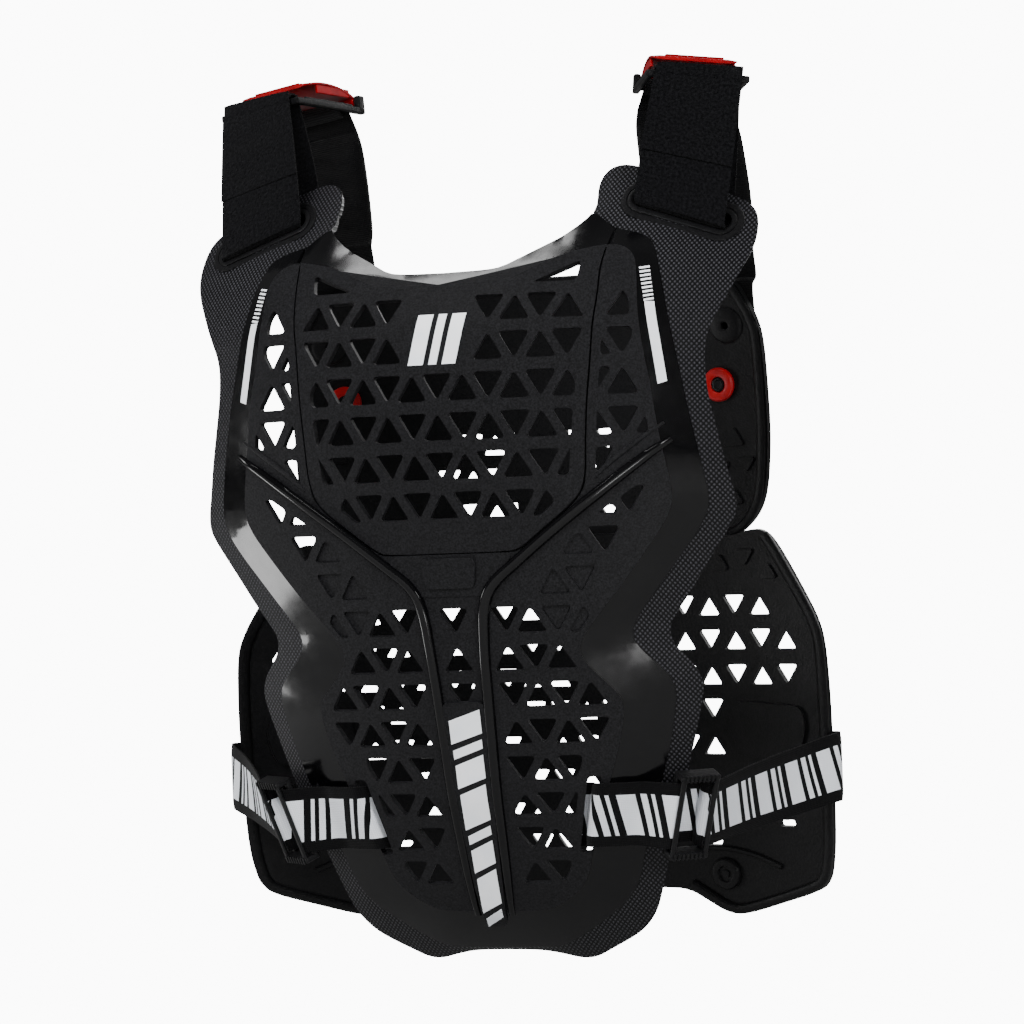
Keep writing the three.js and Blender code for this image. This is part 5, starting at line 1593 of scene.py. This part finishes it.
def build_lower_plate():
    """The lower back plate: lattice over the back, thick rolled rim, side pads, slots and a ridge."""
    outline = softened(mirrored(LOWER_HALF))
    holes = []
    for row, (top, reach) in enumerate(LOWER_CELLS):
        for column in range(reach + 1):
            x = (column + 0.5) * 16.0
            base, apex = (top - 11.6, top) if (row + column) % 2 == 0 else (top, top - 11.6)
            rounded = round_corners(triangle(x, base, apex, 14.4), 1.5)
            holes += [rounded, [(-x, z) for x, z in reversed(rounded)]]
    for side in (1, -1):
        for x, top, top_half, foot, foot_half, corner in ((148, -428, 5, -432, 5, 1.4), (96, -440, 10, -444.5, 9, 1.6)):
            middle = side * x
            slot = [(middle - foot_half, foot), (middle + foot_half, foot), (middle + top_half, top),
                    (middle - top_half, top)]
            holes.append(round_corners(slot, corner))
    piece = plate("lower_plate", outline, holes, lower_surface, plates("plate_wall"), 7.0, 1.2, segments=3)
    finish_piece(piece, "back", ["lower_back_plate"])
    rim = [(141, -263), (147, -272), (162.5, -299), (169.5, -313), (173, -326), (174.2, -352), (174.3, -380),
           (173.6, -433), (171.2, -454), (168, -462), (162, -466.5), (139, -475), (117, -481.6), (106, -480.6),
           (95, -474.6), (84, -468)]
    for side, word in SIDES:
        piece = rib(f"lower_rim_{word}", [(side * x, z) for x, z in rim], lower_surface, 6.4, 2.8)
        finish_piece(piece, "back", ["lower_back_plate"], angle=50)
        pad = [(118, -359), (160, -362), (163, -374), (158, -391), (122, -392), (114, -376)]
        corners = counterclockwise([(side * x, z) for x, z in pad])
        piece = plate(f"lower_pad_{word}", round_corners(corners, 4), [], lower_surface, 2.6, 6.0, 1.0, offset=-2.2,
                      segments=3)
        finish_piece(piece, "back", ["lower_back_plate"])
        pads = []
        for x, z, size, flip in ((128, -276, 13, -1), (112, -278, 13, 1), (143, -284, 12, 1), (126, -404, 12, -1),
                                 (140, -402, 12, 1), (154, -404, 12, -1)):
            pads.append(triangle_pad("pad", side * x, z, size, flip, lower_surface, 1.2, True))
        finish_piece(joined(f"lower_pads_{word}", pads), "back", ["lower_back_plate"])
        ridge = [(side * x, z) for x, z in ((60, -452), (86, -447), (106, -446), (124, -449), (142, -456))]
        piece = rib(f"lower_ridge_{word}", ridge, lower_surface, 3.4, 1.8)
        finish_piece(piece, "back", ["lower_back_plate"], angle=50)
    outer = []
    for side in (1, -1):
        for x, z, size, flip in ((132, -372, 24, 1), (154, -382, 18, -1), (116, -410, 20, -1), (140, -420, 22, 1),
                                 (160, -434, 18, -1)):
            outer.append(triangle_pad("raised", side * x, z, size, flip, lower_surface,
                                      plates("plate_wall") + 1.8, False))
    finish_piece(joined("lower_outside_pads", outer), "gloss", ["lower_back_plate"])


def build_studs():
    """Red collars with black buttons, black press studs and the rivets that link the back plates."""
    for side, word in SIDES:
        x, z = 0.8 * UPPER_REACH, UPPER_TOP - 0.39 * UPPER_HEIGHT
        collar = turned(f"collar_{word}", [(4.6, 0.0), (10.0, 0.0), (10.0, 1.9), (9.2, 2.8), (7.6, 3.0), (5.3, 2.7),
                                           (4.6, 2.1), (4.6, 0.0)])
        stand_on(collar, side * x, z, upper_surface, 0.4)
        finish_piece(collar, "dull_red", [f"stud_collar_{word}"], angle=40)
        button = turned(f"button_{word}", [(0.0, 0.0), (4.1, 0.0), (4.1, 1.6), (3.7, 2.3), (2.9, 2.4), (2.3, 1.7),
                                           (0.0, 1.5)], 36)
        stand_on(button, side * x, z, upper_surface, 0.4)
        finish_piece(button, "fitting", [f"stud_button_{word}"], angle=40)
        x, z = 0.605 * LOWER_REACH, LOWER_TOP - 0.89 * LOWER_HEIGHT
        snap = turned(f"snap_{word}", [(0.0, 0.0), (9.5, 0.0), (9.5, 1.3), (8.6, 2.4), (6.6, 2.6), (5.0, 2.4),
                                       (4.4, 1.1), (2.6, 1.0), (2.2, 1.8), (0.0, 1.9)])
        stand_on(snap, side * x, z, lower_surface, 0.4)
        finish_piece(snap, "fitting", [f"snap_stud_{word}"], angle=40)
        x, z = 0.13 * LOWER_REACH, LOWER_TOP - 0.03 * LOWER_HEIGHT
        start = lower_surface([(x, z)])[0] - 1.6 - 1.2
        end = upper_surface([(x, z)])[0] + plates("plate_wall") + 1.6 + 0.8
        link = turned(f"link_{word}", [(0, 0), (4.2, 0), (5.6, 0.4), (6.0, 1.1), (6.0, 1.6), (2.1, 1.6),
                                       (2.1, end - start - 1.6), (6.0, end - start - 1.6), (6.0, end - start - 1.1),
                                       (5.6, end - start - 0.4), (4.2, end - start), (0, end - start)], 36)
        link.data.transform(Matrix.Translation(Vector((side * x, start, z)) * MM)
                            @ Matrix.Rotation(-math.pi / 2, 4, "X"))
        finish_piece(link, "fitting", [f"link_rivet_{word}"], angle=40)


def build_stage():
    """A pale flat floor, the world as a white backdrop, soft lights and the camera."""
    stage = bpy.context.scene.roost_stage
    az, el = stage.azimuth, stage.elevation
    back = Vector((math.sin(az) * math.cos(el), -math.cos(az) * math.cos(el), math.sin(el)))
    right = Vector((math.cos(az), math.sin(az), 0))
    up = back.cross(right)
    c, s = math.cos(stage.roll), math.sin(stage.roll)
    x_axis, y_axis = right * c - up * s, right * s + up * c
    place = Vector(stage.target) + back * stage.distance
    select_none()
    bpy.ops.object.camera_add(location=place)
    camera = bpy.context.object
    camera.name = "camera"
    camera.data.lens = stage.lens
    camera.data.sensor_width = 36.0
    camera.data.clip_end = 60
    camera.matrix_world = Matrix([[x_axis[i], y_axis[i], back[i], place[i]] for i in range(3)] + [[0, 0, 0, 1]])
    bpy.context.scene.camera = camera

    select_none()
    bpy.ops.mesh.primitive_plane_add(size=1, location=(0, 0, 0))
    floor = bpy.context.object
    floor.name = "studio_floor"
    bpy.ops.object.mode_set(mode="EDIT")
    bpy.ops.transform.resize(value=(14, 14, 1))
    bpy.ops.transform.translate(value=(0, 0, -0.56))
    bpy.ops.object.mode_set(mode="OBJECT")
    paper = bpy.data.materials.new("pale_floor_paper")
    paper.use_nodes = True
    lit_backdrop(paper.node_tree, stage.backdrop, 0.25)
    floor.data.materials.append(paper)

    world = bpy.data.worlds.new("studio_air")
    bpy.context.scene.world = world
    world.use_nodes = True
    tree = world.node_tree
    ground = tree.nodes["Background"]
    ground.inputs["Color"].default_value = (1, 1, 1, 1)
    ray = add_node(tree, "ShaderNodeLightPath").outputs["Is Camera Ray"]
    level = add_node(tree, "ShaderNodeMapRange", {"Value": ray})
    level.inputs["To Min"].default_value = stage.backdrop_dim
    level.inputs["To Max"].default_value = stage.backdrop
    tree.links.new(level.outputs["Result"], ground.inputs["Strength"])
    for name, where, aim, size, power, mirrored_in_gloss in (
        ("key_softbox", (-0.6, -2.2, 1.3), (0, 0, -0.25), (1.6, 1.2), 105, False),
        ("fill_softbox", (1.9, -1.5, 0.5), (0, 0, -0.25), (1.2, 1.2), 40, False),
        ("left_box", (-2.0, -0.42, 0.0), (-0.1, 0, -0.4), (0.34, 0.46), 4.5, True),
        ("right_box", (1.55, -1.4, 0.18), (0.1, 0, -0.4), (0.3, 0.42), 3.6, True),
        ("front_strip", (-0.4, -1.5, 1.6), (0, 0, -0.3), (1.6, 0.2), 7, True),
        ("top_box", (-0.56, 0.54, 1.82), (0, 0, -0.2), (0.34, 0.3), 2.0, True),
        ("left_low_box", (-0.62, -0.1, -0.46), (-0.1, 0, -0.3), (0.16, 0.14), 0.6, True),
        ("right_low_box", (0.38, -0.57, -0.5), (0.09, 0, -0.3), (0.16, 0.07), 0.3, True),
        ("top_softbox", (0.1, 0.3, 1.9), (0, 0, -0.2), (1.8, 1.2), 16, False),
        ("back_softbox", (0.6, 2.0, 0.6), (0, 0, -0.2), (2.0, 1.2), 26, True),
    ):
        select_none()
        bpy.ops.object.light_add(type="AREA", location=where)
        lamp = bpy.context.object
        lamp.name = name
        lamp.data.shape = "RECTANGLE"
        lamp.data.size, lamp.data.size_y = size
        lamp.data.energy = power
        lamp.visible_glossy = mirrored_in_gloss
        lamp.visible_camera = False
        lamp.rotation_euler = (Vector(aim) - Vector(where)).to_track_quat("-Z", "Y").to_euler()


def lit_backdrop(tree, strength, shade):
    """White paper that is lit from behind as the eye sees it, and plain paper to the object on it."""
    for node in list(tree.nodes):
        tree.nodes.remove(node)
    end = add_node(tree, "ShaderNodeOutputMaterial")
    ray = add_node(tree, "ShaderNodeLightPath").outputs["Is Camera Ray"]
    paper = add_node(tree, "ShaderNodeBsdfDiffuse")
    paper.inputs["Color"].default_value = (shade, shade, shade, 1)
    glow = add_node(tree, "ShaderNodeEmission", Strength=strength)
    mix = add_node(tree, "ShaderNodeMixShader", {0: ray, 1: paper.outputs[0], 2: glow.outputs[0]})
    tree.links.new(mix.outputs[0], end.inputs["Surface"])


class ROOST_OT_finishes(bpy.types.Operator):
    """Makes all the part's materials"""

    bl_idname = "roost.finishes"
    bl_label = "Finishes"

    def execute(self, context):
        make_materials()
        return {"FINISHED"}


class ROOST_OT_studio(bpy.types.Operator):
    """Sets up the floor, backdrop, lights and camera"""

    bl_idname = "roost.studio"
    bl_label = "Studio"

    def execute(self, context):
        build_stage()
        return {"FINISHED"}


class ROOST_OT_chest_insert(bpy.types.Operator):
    """Makes the pierced insert and the bevel of the neck"""

    bl_idname = "roost.chest_insert"
    bl_label = "Chest Insert"

    def execute(self, context):
        build_insert()
        return {"FINISHED"}


class ROOST_OT_chest_panel(bpy.types.Operator):
    """Makes the pierced matte panel round the insert"""

    bl_idname = "roost.chest_panel"
    bl_label = "Chest Panel"

    def execute(self, context):
        build_panel()
        return {"FINISHED"}


class ROOST_OT_gloss_band(bpy.types.Operator):
    """Makes the glossy band round the panel"""

    bl_idname = "roost.gloss_band"
    bl_label = "Gloss Band"

    def execute(self, context):
        build_band()
        return {"FINISHED"}


class ROOST_OT_flange(bpy.types.Operator):
    """Makes the cross-hatched flange with its ears"""

    bl_idname = "roost.flange"
    bl_label = "Flange"

    def execute(self, context):
        build_flange()
        return {"FINISHED"}


class ROOST_OT_ridges(bpy.types.Operator):
    """Makes the raised V and its ledges"""

    bl_idname = "roost.ridges"
    bl_label = "Ridges"

    def execute(self, context):
        build_ridges()
        return {"FINISHED"}


class ROOST_OT_badges(bpy.types.Operator):
    """Makes the tab, the spine plate and the plain printed bars"""

    bl_idname = "roost.badges"
    bl_label = "Badges"

    def execute(self, context):
        build_badges()
        return {"FINISHED"}


class ROOST_OT_strap_rings(bpy.types.Operator):
    """Makes the reinforcement round the strap slots"""

    bl_idname = "roost.strap_rings"
    bl_label = "Strap Rings"

    def execute(self, context):
        build_eyelets()
        return {"FINISHED"}


class ROOST_OT_front_straps(bpy.types.Operator):
    """Makes the front shoulder straps"""

    bl_idname = "roost.front_straps"
    bl_label = "Front Straps"

    def execute(self, context):
        build_front_straps()
        return {"FINISHED"}


class ROOST_OT_back_straps(bpy.types.Operator):
    """Makes the padded back straps"""

    bl_idname = "roost.back_straps"
    bl_label = "Back Straps"

    def execute(self, context):
        build_back_straps()
        return {"FINISHED"}


class ROOST_OT_shoulder_buckles(bpy.types.Operator):
    """Makes the shoulder buckles with their red levers"""

    bl_idname = "roost.shoulder_buckles"
    bl_label = "Shoulder Buckles"

    def execute(self, context):
        build_buckles()
        return {"FINISHED"}


class ROOST_OT_waist_straps(bpy.types.Operator):
    """Makes the waist elastic and its sliders"""

    bl_idname = "roost.waist_straps"
    bl_label = "Waist Straps"

    def execute(self, context):
        build_waist()
        return {"FINISHED"}


class ROOST_OT_upper_back(bpy.types.Operator):
    """Makes the upper back plate"""

    bl_idname = "roost.upper_back"
    bl_label = "Upper Back Plate"

    def execute(self, context):
        build_upper_plate()
        return {"FINISHED"}


class ROOST_OT_lower_back(bpy.types.Operator):
    """Makes the lower back plate"""

    bl_idname = "roost.lower_back"
    bl_label = "Lower Back Plate"

    def execute(self, context):
        build_lower_plate()
        return {"FINISHED"}


class ROOST_OT_studs(bpy.types.Operator):
    """Makes the collars, buttons, press studs and link rivets"""

    bl_idname = "roost.studs"
    bl_label = "Studs"

    def execute(self, context):
        build_studs()
        return {"FINISHED"}


class ROOST_PT_panel(bpy.types.Panel):
    """The steps that make the part, and its sizes and colours."""

    bl_idname = "ROOST_PT_panel"
    bl_label = "Roost Deflector"
    bl_space_type = "VIEW_3D"
    bl_region_type = "UI"
    bl_category = "Roost Deflector"

    def draw(self, context):
        layout = self.layout
        for step in STEPS:
            layout.operator(step.bl_idname)
        for owner, kind in GROUPS:
            box = layout.box()
            box.label(text=kind.__doc__)
            for name in kind.__annotations__:
                box.prop(getattr(context.scene, owner), name)


GROUPS = (
    ("roost_plates", RoostPlates), ("roost_straps", RoostStraps), ("roost_fittings", RoostFittings),
    ("roost_colours", RoostColours), ("roost_stage", RoostStage),
)
STEPS = (
    ROOST_OT_finishes,
    ROOST_OT_studio,
    ROOST_OT_chest_insert,
    ROOST_OT_chest_panel,
    ROOST_OT_gloss_band,
    ROOST_OT_flange,
    ROOST_OT_ridges,
    ROOST_OT_badges,
    ROOST_OT_strap_rings,
    ROOST_OT_front_straps,
    ROOST_OT_back_straps,
    ROOST_OT_shoulder_buckles,
    ROOST_OT_waist_straps,
    ROOST_OT_upper_back,
    ROOST_OT_lower_back,
    ROOST_OT_studs,
)


def register():
    """Registers the property groups, the operators and the panel."""
    for owner, kind in GROUPS:
        bpy.utils.register_class(kind)
        setattr(bpy.types.Scene, owner, PointerProperty(type=kind))
    for kind in STEPS + (ROOST_PT_panel,):
        bpy.utils.register_class(kind)


def unregister():
    """Takes back what register() has set up."""
    for kind in reversed(STEPS + (ROOST_PT_panel,)):
        bpy.utils.unregister_class(kind)
    for owner, kind in reversed(GROUPS):
        delattr(bpy.types.Scene, owner)
        bpy.utils.unregister_class(kind)


def main():
    """Builds the part and its stage step by step."""
    register()
    bpy.ops.roost.finishes()
    bpy.ops.roost.studio()
    bpy.ops.roost.chest_insert()
    bpy.ops.roost.chest_panel()
    bpy.ops.roost.gloss_band()
    bpy.ops.roost.flange()
    bpy.ops.roost.ridges()
    bpy.ops.roost.badges()
    bpy.ops.roost.strap_rings()
    bpy.ops.roost.front_straps()
    bpy.ops.roost.back_straps()
    bpy.ops.roost.shoulder_buckles()
    bpy.ops.roost.waist_straps()
    bpy.ops.roost.upper_back()
    bpy.ops.roost.lower_back()
    bpy.ops.roost.studs()


if __name__ == "__main__":
    main()
